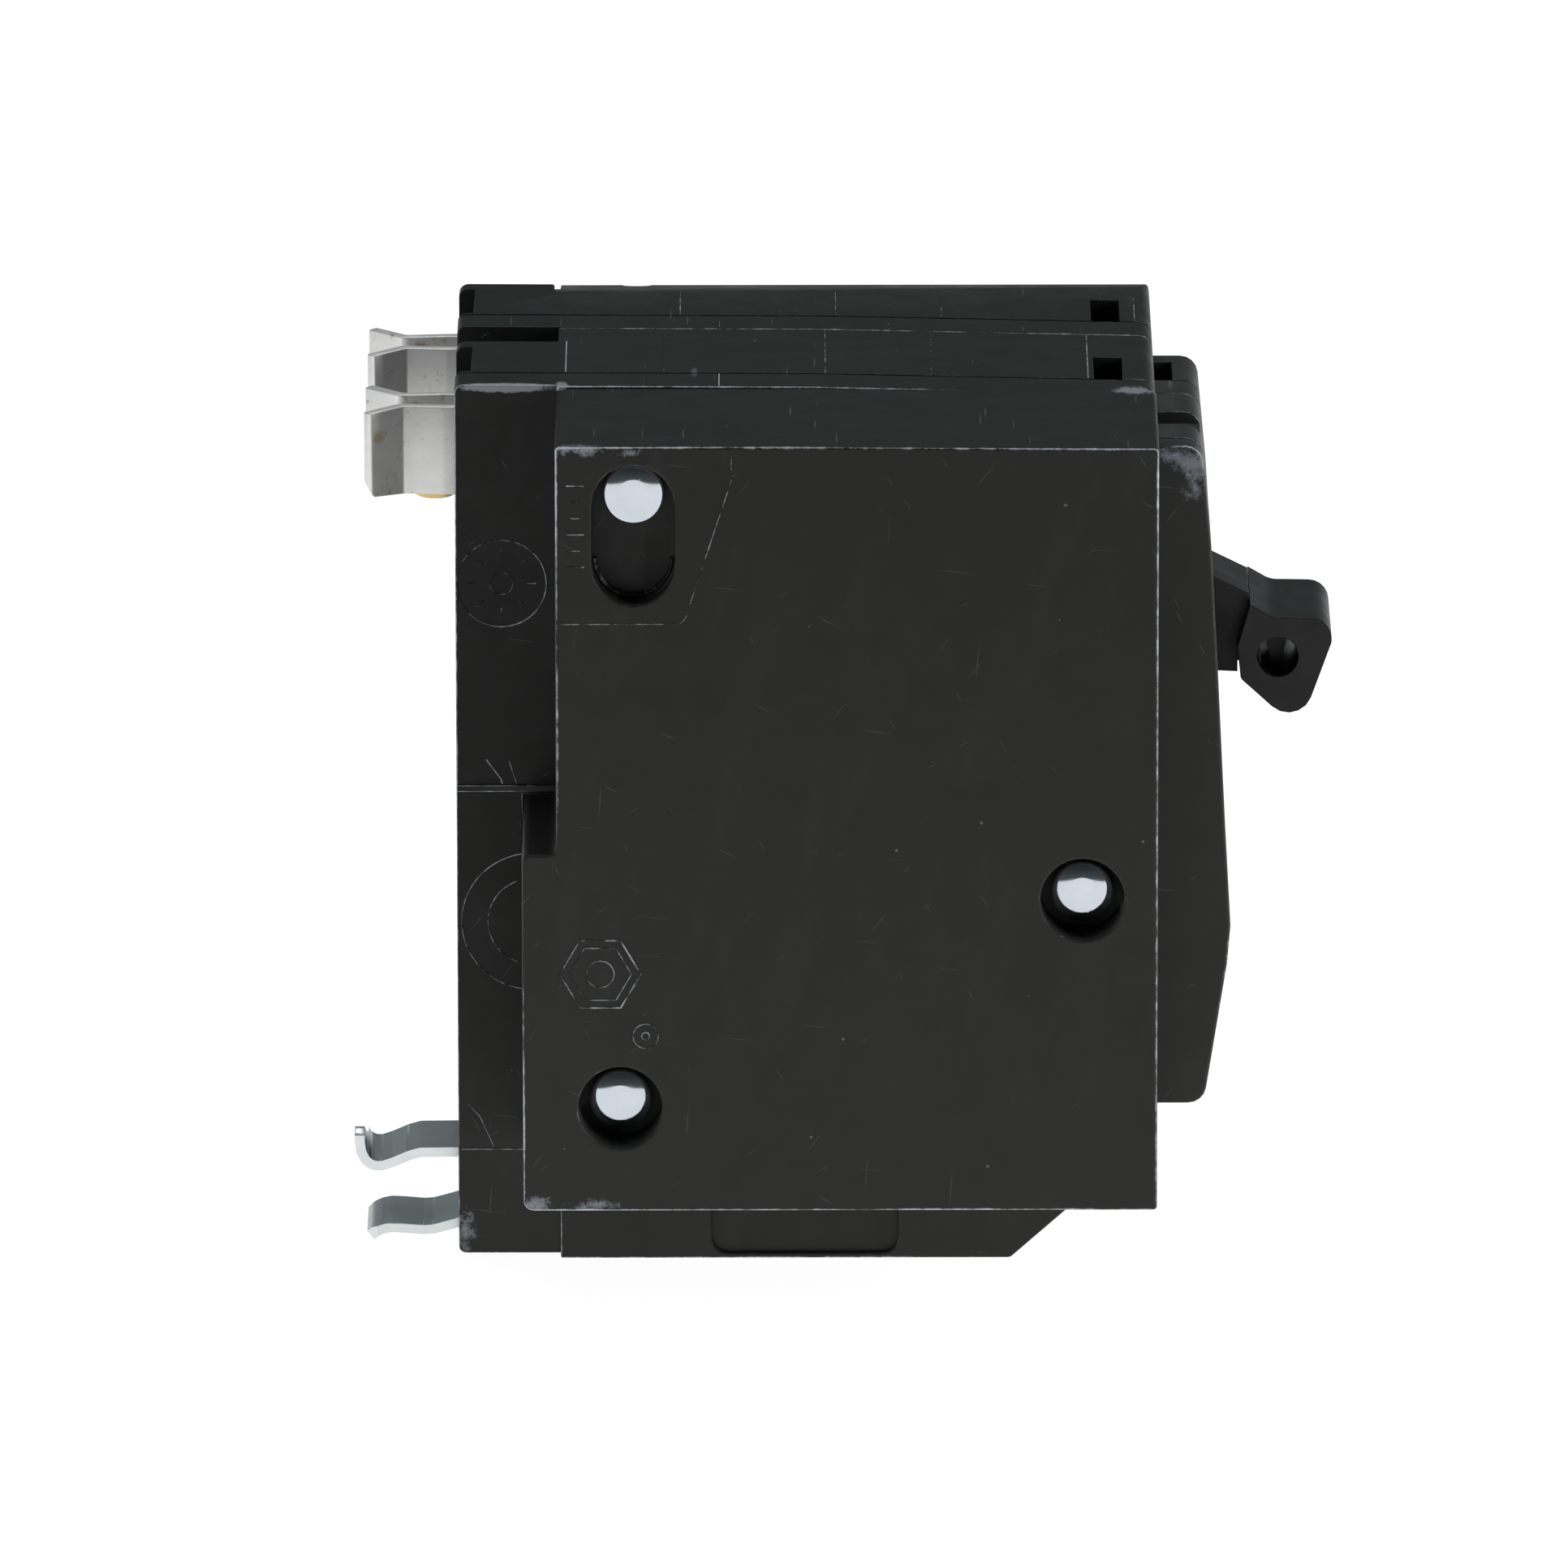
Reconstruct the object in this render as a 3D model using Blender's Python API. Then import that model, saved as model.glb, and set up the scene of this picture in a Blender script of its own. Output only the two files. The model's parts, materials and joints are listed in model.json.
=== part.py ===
"""Plug-on circuit breaker: two switching poles, and a shunt-trip module riveted to their side.

The breaker stands on its load end. +Z points to the line end with the plug-on jaws, +X to the front with the
handle, and +Y away from the shunt-trip module. All constants are in millimetres, and x is measured from the
back face of the poles. The origin is at the middle of the bounding box, on the surface that it stands on.
"""

import math

import bmesh
import bpy
from mathutils import Vector

MM = 0.001

# Overall
MODULE_PITCH = 19.05
X_MIDDLE = 33.6
SEAM = 0.2
GAP = 0.3
WALL = 1.8

# Case of one pole, from its side
CASE_LENGTH = 79.2
CASE_FRONT = 60.7
CASE_OUTLINE = (
    (0.0, 0.4, 0.6), (8.9, 0.4), (8.9, 0.0), (48.2, 0.0, 0.6), (CASE_FRONT, 11.2),
    (CASE_FRONT, 78.4, 1.2), (31.0, 79.05), (0.0, CASE_LENGTH, 0.8),
)
CASE_HULL = (
    (0.0, 0.4), (48.2, 0.0), (CASE_FRONT, 11.2), (CASE_FRONT, 78.4), (31.0, 79.05), (0.0, CASE_LENGTH),
)
COVER_WIDTH = 4.5
BACK_STRIP = 8.9
BACK_RECESS = 4.2
STRIP_RECESS = 0.4
TOP_HOLE = (55.4, 57.9)
TOP_HOLE_WIDTH = 6.9
TOP_TAB = ((55.7, 75.0), (57.6, 75.0), (57.6, 78.3), (55.7, 78.3))
SIDE_POCKET = ((22.1, 0.5, 1.4), (38.4, 0.5, 1.4), (38.4, 14.0), (22.1, 14.0))
STRIP_RIB = ((0.0, 42.5), (BACK_STRIP, 42.5), (BACK_STRIP, 43.1), (0.0, 43.1))
STRIP_POCKET = ((5.8, BACK_STRIP), (37.0, 42.2))
TOP_CHAMFER = (6.7, 1.45)

# Nose that both poles share
NOSE_OUTLINE = (
    (55.0, 13.5), (65.1, 13.5, 1.6), (67.1, 26.2), (67.4, 29.7, 2.0), (66.9, 38.7),
    (66.2, 53.0), (65.6, 64.0), (64.75, 73.2, 1.6), (55.0, 73.2),
)
NOSE_WALL = 1.6
NOSE_FAR = 22.2
NOSE_NEAR = -7.5

# Module positions across the breaker
POLE_A = MODULE_PITCH
POLE_B = 0.0
ACCESSORY = -MODULE_PITCH
POLES = (("a", POLE_A), ("b", POLE_B))
SHARED_PLANE = MODULE_PITCH / 2
WORKS_OFFSET = -1.5

# Handle
PIVOT = (57.5, 56.5)
PIVOT_PIN_RADIUS = 1.5
RUNNING_CLEARANCE = 0.05
BARREL_RADIUS = 8.0
HUB_RADIUS = 4.2
STALK_WIDTH = 8.4
CAP_WIDTH = 12.4
CAP_HOLE = (71.6, 51.0)
CAP_HOLE_RADIUS = 1.82
HANDLE_THROW = 42.0
SWING_ROOM = 0.6
STALK = (
    (57.5, 60.0), (63.0, 59.4), (66.1, 57.7), (68.7, 56.2), (68.7, 55.0), (70.0, 54.2), (70.0, 50.1),
    (67.9, 50.1), (67.9, 49.1), (66.1, 49.2), (61.0, 50.0), (57.5, 52.0),
)
CAP_OUTLINE = (
    (69.2, 55.75), (71.2, 54.58, 2.0), (76.3, 54.5, 1.8), (76.35, 52.3, 1.0), (73.5, 44.3, 2.1),
    (68.4, 49.0, 0.6), (68.1, 51.9, 0.3),
)
CAP_SOCKET = ((66.0, 55.35), (68.75, 55.35), (70.3, 54.4), (70.3, 49.8), (66.0, 49.8))
CAP_WEB = ((70.5, 53.0), (71.1, 49.0), (71.95, 49.0), (72.7, 53.0))
CAP_WEB_WIDTH = 5.0
HUB_Y = (NOSE_NEAR + 4.2, 19.3)
PIN_Y = (NOSE_NEAR + 0.9, 21.3)

# Contact arm, which hangs in a notch of the handle hub
NOTCH_DISTANCE = 5.0
NOTCH_ANGLE = 170.0
ARM_OFF_ANGLE = 176.0
ARM_ON_ANGLE = 157.0
ARM_LENGTH = 31.5
ARM_HALF_HEIGHT = 1.5
ARM_THICKNESS = 2.0
CONTACT_AT = 28.0
CONTACT_RADIUS = 2.2
CONTACT_HEIGHT = 1.2
STRAP_THICKNESS = 1.2
STRAP_HEIGHT = 70.2
NOTCH_RADIUS = 2.3
KNUCKLE_RADIUS = 2.0

# Arc chute beyond the contact tip
CHUTE_BACK = ((11.4, 46.8), (12.4, 46.8), (12.4, 66.4), (11.4, 66.4))
CHUTE_HALF_WIDTH = 4.5
CHUTE_PLATES = 6
CHUTE_PITCH = 3.5

# Trip works
CRADLE_PIVOT = (17.0, 40.0)
CRADLE_PIN_RADIUS = 1.5
CRADLE_OUTLINE = (
    (13.4, 37.4, 1.5), (20.0, 36.4), (34.0, 36.8), (42.0, 33.0), (46.2, 33.4), (46.2, 35.6), (43.0, 36.5),
    (40.5, 40.5), (38.8, 45.0, 0.6), (35.6, 45.0, 0.6), (34.4, 41.5), (20.0, 43.4), (13.4, 42.6, 1.5),
)
CROSSBAR = (41.0, 24.0)
CROSSBAR_RADIUS = 2.0
ARMATURE_HINGE = (47.4, 17.5)
CROSSBAR_ENDS = (-24.5, 26.2)
CROSSBAR_ROOM = 0.4
SPRING_FOOT = (37.2, 45.6)

# Load terminal
LUG_WALL = 1.3
LUG_X = (38.6, 50.3)
LUG_Z = (4.7, 11.4)
LUG_HALF_WIDTH = 5.2
SCREW_HEIGHT = 7.6
SCREW_RADIUS = 2.5
SCREW_SLOT = 0.9
PLATE_X = (45.9, 47.1)
PLATE_Z = (5.0, 10.9)
WIRE_ENTRY_X = (41.2, 46.4)
WIRE_ENTRY_HALF = 3.4
SCREW_ACCESS_RADIUS = 3.2
CALIBRATION_X = 33.0
CALIBRATION_RADIUS = 1.5

# Rivets through all three modules, as x and z
RIVETS = {"top": (15.6, 74.5), "front": (54.2, 38.4), "back": (14.3, 19.7)}
RIVET_RADIUS = 1.5
RIVET_HEAD_RADIUS = 2.65
RIVET_HOLE_RADIUS = 1.8
COUNTERBORE_RADIUS = 3.65
COUNTERBORE_DEPTH = 4.0
SLOT_DEPTH = 2.7

# Shunt-trip module, from its side
ACCESSORY_OUTLINE = (
    (5.87, 10.35, 0.9), (CASE_FRONT, 10.35), (CASE_FRONT, 78.8, 0.4), (31.0, 79.0), (8.84, 79.0, 0.4),
    (8.84, 42.5, 0.7), (5.87, 42.5, 0.7),
)
ACCESSORY_CAVITY = (
    (7.9, 12.6), (58.9, 12.6), (58.9, 76.8), (31.0, 77.2), (10.7, 77.2), (10.7, 40.6), (7.9, 40.6),
)
PLATE_THICKNESS = 1.5
POST_RADIUS = 5.2
RIVET_SLOT = ((12.0, 19.1), (64.9, 77.3))
SLOT_PAD = ((10.0, 21.0), (63.4, 77.9))
SOLENOID = (34.0, -18.6)
BOBBIN_PROFILE = (
    (2.4, 33.0), (7.2, 33.0), (7.2, 34.2), (3.6, 34.2), (3.6, 52.8), (7.2, 52.8), (7.2, 54.0), (2.4, 54.0),
    (2.4, 33.0),
)
COIL_PROFILE = ((3.9, 34.5), (6.8, 34.5), (6.8, 52.5), (3.9, 52.5), (3.9, 34.5))
PLUNGER_PROFILE = (
    (0.0, 27.5), (1.4, 27.5), (1.4, 30.9), (2.1, 30.9), (2.1, 58.6), (3.4, 58.6), (3.4, 59.6), (0.0, 59.6),
)

# Plug-on jaw and rail clip
JAW_OFFSET = -1.9
JAW_Z = (68.0, 75.9)
JAW_PATH = ((4.3, 2.1), (-1.0, 2.1), (-4.7, 1.75), (-7.6, 4.4))
JAW_THICKNESS = 1.0
JAW_TIP_CUT = ((-4.7, 0.0), (-7.03, 0.31), (-8.6, 2.6), (-9.5, 2.6), (-9.5, -1.0), (-4.7, -1.0))
CLIP_Y = (-4.6, 3.4)
CLIP_THICKNESS = 0.88
CLIP_UPPER = (
    (-8.71, 10.3), (-8.71, 9.1), (-8.58, 8.25), (-8.2, 7.5), (-7.6, 7.05), (-6.8, 7.0), (-5.75, 7.36),
    (-4.4, 7.95), (-3.4, 8.24), (4.4, 8.3),
)
CLIP_LOWER = (
    (4.4, 3.1), (-1.2, 1.5), (-2.3, 1.2), (-3.2, 1.15), (-5.0, 1.3), (-6.0, 1.35), (-6.75, 1.2),
    (-7.35, 0.92), (-7.83, 0.4),
)
UPPER_TIP_FAR_CUT = ((-3.6, 10.35), (3.9, 7.4), (4.5, 7.4), (4.5, 11.5), (-3.6, 11.5))
UPPER_TIP_NEAR_CUT = ((-5.5, 9.1), (-3.5, 10.7), (-5.5, 10.7))
LOWER_TIP_NEAR_CUT = ((-9.5, -5.5), (-6.45, -5.5), (-9.0, -2.44), (-9.5, -2.44))

# How far a cutter reaches past the face that it opens, and the heights of one that runs the whole length
PAST = 1.0
ALL_Z = (-PAST, CASE_LENGTH + 2 * PAST)

MATERIALS = {}


def material(name, colour, roughness, metallic):
    """A Principled BSDF material, made once for each name."""
    if name not in MATERIALS:
        made = bpy.data.materials.new(name)
        made.use_nodes = True
        shader = made.node_tree.nodes["Principled BSDF"]
        shader.inputs["Base Color"].default_value = (*colour, 1.0)
        shader.inputs["Roughness"].default_value = roughness
        shader.inputs["Metallic"].default_value = metallic
        MATERIALS[name] = made
    return MATERIALS[name]


def plastic(name):
    return material(name + "_black_plastic", (0.028, 0.028, 0.026), 0.55, 0.0)


def dark_plastic(name):
    return material(name + "_dark_plastic", (0.018, 0.018, 0.017), 0.6, 0.0)


def tinned(name):
    return material(name + "_tinned_copper", (0.58, 0.57, 0.54), 0.38, 1.0)


def copper(name):
    return material(name + "_copper", (0.72, 0.38, 0.24), 0.35, 1.0)


def silver(name):
    return material(name + "_silver_alloy", (0.8, 0.79, 0.76), 0.3, 1.0)


def steel(name):
    return material(name + "_zinc_steel", (0.5, 0.53, 0.55), 0.4, 1.0)


def rivet_steel(name):
    return material(name + "_bright_plated_steel", (0.72, 0.74, 0.76), 0.12, 1.0)


def place(x, y, z):
    """A point of the breaker, in metres, with x measured from the back face of the poles."""
    return Vector(((x - X_MIDDLE) * MM, y * MM, z * MM))


def polar(centre, radius, degrees):
    """The point at a radius and an angle from a centre, in the side view."""
    turn = math.radians(degrees)
    return (centre[0] + radius * math.cos(turn), centre[1] + radius * math.sin(turn))


def rounded(corners, steps=4):
    """Outline points from corners (u, v) or (u, v, radius): a corner with a radius becomes an arc."""
    points = []
    for index, corner in enumerate(corners):
        here = Vector(corner[:2])
        if len(corner) == 2:
            points.append((here.x, here.y))
            continue
        to_last = (Vector(corners[index - 1][:2]) - here).normalized()
        to_next = (Vector(corners[(index + 1) % len(corners)][:2]) - here).normalized()
        half = to_last.angle(to_next) / 2
        reach = corner[2] / math.tan(half)
        centre = here + (to_last + to_next).normalized() * (corner[2] / math.sin(half))
        start = here + to_last * reach - centre
        sweep = start.angle_signed(here + to_next * reach - centre)
        for step in range(steps + 1):
            turn = -sweep * step / steps
            points.append((
                centre.x + start.x * math.cos(turn) - start.y * math.sin(turn),
                centre.y + start.x * math.sin(turn) + start.y * math.cos(turn),
            ))
    return points


def circle(centre, radius, sides=24):
    return [polar(centre, radius, 360 * side / sides) for side in range(sides)]


def offset(points, distance):
    """A closed anticlockwise outline moved inwards by a distance, with mitred corners."""
    moved = []
    for index, point in enumerate(points):
        here = Vector(point)
        ahead = (Vector(points[(index + 1) % len(points)]) - here).normalized()
        behind = (here - Vector(points[index - 1])).normalized()
        normal_ahead = Vector((-ahead.y, ahead.x))
        normal_behind = Vector((-behind.y, behind.x))
        mitre = (normal_ahead + normal_behind) / (1 + normal_ahead.dot(normal_behind))
        moved.append(tuple(here + mitre * distance))
    return moved


def strip_outline(path, thickness):
    """The closed outline of a bent strip of even thickness that follows an open path."""
    runs = [(Vector(end) - Vector(start)).normalized() for start, end in zip(path, path[1:])]
    sides = ([], [])
    for index, point in enumerate(path):
        here = Vector(point)
        ahead = runs[min(index, len(runs) - 1)]
        behind = runs[max(index - 1, 0)]
        normal_ahead = Vector((-ahead.y, ahead.x))
        normal_behind = Vector((-behind.y, behind.x))
        mitre = (normal_ahead + normal_behind) / (1 + normal_ahead.dot(normal_behind))
        sides[0].append(tuple(here + mitre * thickness / 2))
        sides[1].append(tuple(here - mitre * thickness / 2))
    return sides[1] + sides[0][::-1]


def add(name, mesh_data, finish, smooth=False):
    """A new object from a bmesh, closed, facing out, with its material."""
    bmesh.ops.recalc_face_normals(mesh_data, faces=mesh_data.faces)
    mesh = bpy.data.meshes.new(name)
    mesh_data.to_mesh(mesh)
    mesh_data.free()
    piece = bpy.data.objects.new(name, mesh)
    bpy.context.scene.collection.objects.link(piece)
    if finish:
        mesh.materials.append(finish)
    if smooth:
        mesh.shade_smooth()
        mesh.set_sharp_from_angle(angle=math.radians(35))
    return piece


def prism(name, outline, low, high, finish=None, axis="Y", smooth=False):
    """A solid of constant outline. The outline is in XZ for axis Y, in XY for axis Z, in YZ for axis X."""
    corner = {
        "Y": lambda u, v: place(u, low, v),
        "Z": lambda u, v: place(u, v, low),
        "X": lambda u, v: place(low, u, v),
    }[axis]
    along = {"Y": Vector((0, 1, 0)), "Z": Vector((0, 0, 1)), "X": Vector((1, 0, 0))}[axis]
    mesh = bmesh.new()
    face = mesh.faces.new([mesh.verts.new(corner(u, v)) for u, v in outline])
    grown = bmesh.ops.extrude_face_region(mesh, geom=[face])["geom"]
    moved = [item for item in grown if isinstance(item, bmesh.types.BMVert)]
    bmesh.ops.translate(mesh, verts=moved, vec=along * (high - low) * MM)
    return add(name, mesh, finish, smooth)


def block(name, x_range, y_range, z_range, finish=None):
    (left, right), (low, high) = x_range, z_range
    outline = [(left, low), (right, low), (right, high), (left, high)]
    return prism(name, outline, y_range[0], y_range[1], finish)


def turned(name, profile, centre, finish, axis="Y", sides=24):
    """A solid of revolution. The profile is (radius, distance along the axis), from axis to axis."""
    frames = {
        "Y": lambda radius, along: place(centre[0] + radius, along, centre[1]),
        "Z": lambda radius, along: place(centre[0] + radius, centre[1], along),
        "X": lambda radius, along: place(along, centre[0] + radius, centre[1]),
    }
    centres = {
        "Y": place(centre[0], 0, centre[1]),
        "Z": place(centre[0], centre[1], 0),
        "X": place(0, centre[0], centre[1]),
    }
    axes = {"Y": (0, 1, 0), "Z": (0, 0, 1), "X": (1, 0, 0)}
    mesh = bmesh.new()
    verts = [mesh.verts.new(frames[axis](radius, along)) for radius, along in profile]
    edges = [mesh.edges.new(pair) for pair in zip(verts, verts[1:])]
    bmesh.ops.spin(
        mesh, geom=verts + edges, cent=centres[axis], axis=axes[axis],
        angle=math.tau, steps=sides, use_merge=True,
    )
    bmesh.ops.remove_doubles(mesh, verts=mesh.verts, dist=1e-7)
    return add(name, mesh, finish, smooth=True)


def wire(name, points, radius, finish, resolution=1):
    """A round wire along points, with closed ends."""
    curve = bpy.data.curves.new(name, "CURVE")
    curve.dimensions = "3D"
    curve.bevel_depth = radius * MM
    curve.bevel_resolution = resolution
    curve.use_fill_caps = True
    spline = curve.splines.new("POLY")
    spline.points.add(len(points) - 1)
    for target, point in zip(spline.points, points):
        target.co = (*place(*point), 1.0)
    curve.materials.append(finish)
    piece = bpy.data.objects.new(name, curve)
    bpy.context.scene.collection.objects.link(piece)
    return piece


def coil(centre, radius, low, high, turns, steps=10):
    """Points of a helical spring that stands along Z."""
    count = turns * steps
    return [
        (
            centre[0] + radius * math.cos(math.tau * step / steps),
            centre[1] + radius * math.sin(math.tau * step / steps),
            low + (high - low) * step / count,
        )
        for step in range(count + 1)
    ]


def shape_with(piece, tool, operation):
    """Joins or cuts a piece with a hidden tool, and leaves the modifier on the piece."""
    tool.hide_render = True
    tool.display_type = "WIRE"
    change = piece.modifiers.new(tool.name, "BOOLEAN")
    change.operation = operation
    change.solver = "EXACT"
    change.object = tool


def fuse(piece, *tools):
    for tool in tools:
        shape_with(piece, tool, "UNION")


def cut(piece, *tools):
    for tool in tools:
        shape_with(piece, tool, "DIFFERENCE")


def set_origin(piece, x, y, z):
    """Moves a piece's origin to a point of its joint's axis, without moving its shape."""
    point = place(x, y, z)
    if piece.type == "MESH":
        for vertex in piece.data.vertices:
            vertex.co -= point
    piece.location = point


def case_cavity(x_back):
    """The hollow of a pole case, from its side, with its back wall at a given x."""
    inner = offset(CASE_HULL, WALL)
    return [(x_back, inner[0][1])] + inner[1:-1] + [(x_back, inner[-1][1])]


def rivet_holes(name, low, high):
    return [
        prism(f"{name}_rivet_{key}", circle(spot, RIVET_HOLE_RADIUS), low, high)
        for key, spot in RIVETS.items()
    ]


def handle_openings(name):
    """The slot that the handle swings in, and the room of its barrel beside the shared plane."""
    low = SHARED_PLANE - STALK_WIDTH / 2 - SWING_ROOM
    high = SHARED_PLANE + STALK_WIDTH / 2 + SWING_ROOM
    return [
        block(name + "_handle_slot", (62.0, 70.0), (low, high), (48.4, 64.5)),
        prism(name + "_barrel_room", circle(PIVOT, BARREL_RADIUS + SWING_ROOM, 32), low, high),
    ]


def pole_base(tag, centre):
    """The deep half of a pole's case, with the jaw slot, the terminal openings and the nose's far part."""
    name = f"pole_{tag}_base"
    far = centre + MODULE_PITCH / 2
    far_face = far if tag == "a" else far - SEAM / 2
    part = centre - MODULE_PITCH / 2 + COVER_WIDTH + SEAM / 2
    nose_far = NOSE_FAR if tag == "a" else far_face
    nose_wall = NOSE_WALL if tag == "a" else WALL
    jaw = centre + JAW_OFFSET
    middle = centre + WORKS_OFFSET
    base = prism(name, rounded(CASE_OUTLINE), part, far_face, plastic(name))
    fuse(base, prism(name + "_nose", rounded(NOSE_OUTLINE), part, nose_far))
    cut(
        base,
        prism(name + "_hollow_back", case_cavity(WALL), part - PAST, far_face - BACK_RECESS - WALL),
        prism(name + "_hollow", case_cavity(BACK_STRIP + WALL), part - PAST, far_face - WALL),
        prism(name + "_hollow_nose", nose_cavity(), part - PAST, nose_far - nose_wall),
        block(name + "_back_recess", (-PAST, BACK_STRIP), (far_face - BACK_RECESS, far_face + PAST), ALL_Z),
        block(name + "_jaw_recess", (-PAST, 1.4), (part + 0.4, part + 8.3), (66.8, ALL_Z[1])),
        block(name + "_jaw_slot", (-PAST, 3.0), (jaw - 3.0, jaw + 3.0), (67.6, 76.3)),
        block(name + "_top_hole", TOP_HOLE, (part - PAST, part + TOP_HOLE_WIDTH), (75.0, ALL_Z[1])),
        wire_entry(name, centre),
        screw_access(name, centre),
        calibration_hole(name, middle),
        *rivet_holes(name, part - 2 * PAST, far_face + PAST),
    )
    if tag == "a":
        cut(base, far_top_chamfer(name, far_face), *far_counterbores(name, far_face))
        cut(base, block(name + "_nose_hole", (60.8, 62.5), (part - PAST, 19.8), (70.0, 75.0)))
        cut(base, pivot_pocket(name, nose_far - NOSE_WALL - PAST, PIN_Y[1] + 0.5))
    else:
        cut(base, *handle_openings(name), crossbar_window(name, far - 4, far + PAST))
        cut(base, block(name + "_nose_groove", (CASE_FRONT, 70), (-0.4, 3.6), (72.1, 75.0)))
        cut(base, block(name + "_clip_slot", (-PAST, 5.2), (CLIP_Y[0] - GAP, CLIP_Y[1] + GAP), (1.2, 9.1)))
    return base


def wire_entry(name, centre):
    outline = rounded_box(WIRE_ENTRY_X, (centre - WIRE_ENTRY_HALF, centre + WIRE_ENTRY_HALF), 1.2)
    return prism(name + "_wire_entry", outline, -PAST, 3, axis="Z")


def screw_access(name, centre):
    outline = circle((centre, SCREW_HEIGHT), SCREW_ACCESS_RADIUS)
    return prism(name + "_screw_access", outline, CASE_FRONT - 10.5, CASE_FRONT + 2, axis="X")


def calibration_hole(name, middle):
    outline = circle((CALIBRATION_X, middle), CALIBRATION_RADIUS + 0.4, 16)
    return prism(name + "_calibration_hole", outline, -PAST, 3, axis="Z")


def crossbar_window(name, low, high):
    """The round window that the trip bar passes through."""
    return prism(name + "_crossbar_window", circle(CROSSBAR, CROSSBAR_RADIUS + CROSSBAR_ROOM), low, high)


def pole_cover(tag, centre):
    """The shallow half of a pole's case, on the side of the shunt-trip module."""
    name = f"pole_{tag}_cover"
    near = centre - MODULE_PITCH / 2
    near_face = near + SEAM / 2
    part = near + COVER_WIDTH - SEAM / 2
    nose_near = near_face if tag == "a" else NOSE_NEAR
    nose_floor = near_face + WALL if tag == "a" else NOSE_NEAR + NOSE_WALL
    cover = prism(name, rounded(CASE_OUTLINE), near_face, part, plastic(name))
    fuse(cover, prism(name + "_nose", rounded(NOSE_OUTLINE), nose_near, part))
    fuse(cover, prism(name + "_tab", TOP_TAB, part - PAST, part + 0.9))
    cut(
        cover,
        prism(name + "_hollow", case_cavity(WALL), near_face + WALL, part + 2),
        prism(name + "_hollow_nose", nose_cavity(), nose_floor, part + 2),
        block(name + "_strip_recess", (-PAST, BACK_STRIP), (near - PAST, near_face + STRIP_RECESS), ALL_Z),
        prism(name + "_side_pocket", rounded(SIDE_POCKET), near - PAST, near_face + 0.5),
        crossbar_window(name, near - PAST, part + PAST),
        *rivet_holes(name, near - PAST, part + PAST),
    )
    if tag == "a":
        cut(cover, *handle_openings(name))
    else:
        cut(cover, pivot_pocket(name, NOSE_NEAR + 0.5, part + PAST))
        depth = (near - PAST, near_face + 1.1)
        cut(cover, block(name + "_strip_pocket", STRIP_POCKET[0], depth, STRIP_POCKET[1]))
        fuse(cover, prism(name + "_strip_rib", STRIP_RIB, near_face + 0.15, near_face + 1))
    return cover


def nose_cavity():
    inner = offset([corner[:2] for corner in NOSE_OUTLINE], NOSE_WALL)
    return [(50.0, inner[0][1])] + inner[1:-1] + [(50.0, inner[-1][1])]


def rounded_box(u_range, v_range, radius):
    return rounded((
        (u_range[0], v_range[0], radius), (u_range[1], v_range[0], radius),
        (u_range[1], v_range[1], radius), (u_range[0], v_range[1], radius),
    ))


def far_top_chamfer(name, far_face):
    """The long chamfer on the outermost top edge, in front of the recessed back strip."""
    reach, drop = TOP_CHAMFER
    top = CASE_LENGTH + 0.4
    high = CASE_LENGTH - 0.05
    inner = far_face - reach
    outer = far_face + PAST
    outline = ((inner, top), (outer, top), (outer, high - drop), (inner, high))
    return prism(name + "_top_chamfer", outline, BACK_STRIP - 0.5, CASE_FRONT + 1, axis="X")


def far_counterbores(name, far_face):
    return [
        prism(f"{name}_counterbore_{key}", circle(spot, COUNTERBORE_RADIUS), far_face - 1.1, far_face + 1)
        for key, spot in RIVETS.items()
    ]


def pivot_pocket(name, low, high):
    return prism(name + "_pivot_pocket", circle(PIVOT, PIVOT_PIN_RADIUS + 0.15), low, high)


def rivets():
    """Three long rivets through every module: a domed head on the near side, a rolled one on the far side."""
    near_face = ACCESSORY - MODULE_PITCH / 2
    far_seat = POLE_A + MODULE_PITCH / 2 - 1.1
    for key, spot in RIVETS.items():
        depth = SLOT_DEPTH if key == "top" else COUNTERBORE_DEPTH
        seat = near_face + depth
        dome = [(0.0, seat - 2.0), (1.2, seat - 2.0), (2.1, seat - 1.55), (RIVET_HEAD_RADIUS, seat - 0.75)]
        body = [
            (RIVET_HEAD_RADIUS, seat - 0.1), (RIVET_RADIUS, seat - 0.1), (RIVET_RADIUS, far_seat + 0.1),
            (RIVET_HEAD_RADIUS, far_seat + 0.1), (RIVET_HEAD_RADIUS, far_seat + 0.5), (2.2, far_seat + 0.9),
            (0.0, far_seat + 0.9),
        ]
        name = f"case_rivet_{key}"
        turned(name, dome + body, spot, rivet_steel(name))


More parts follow.
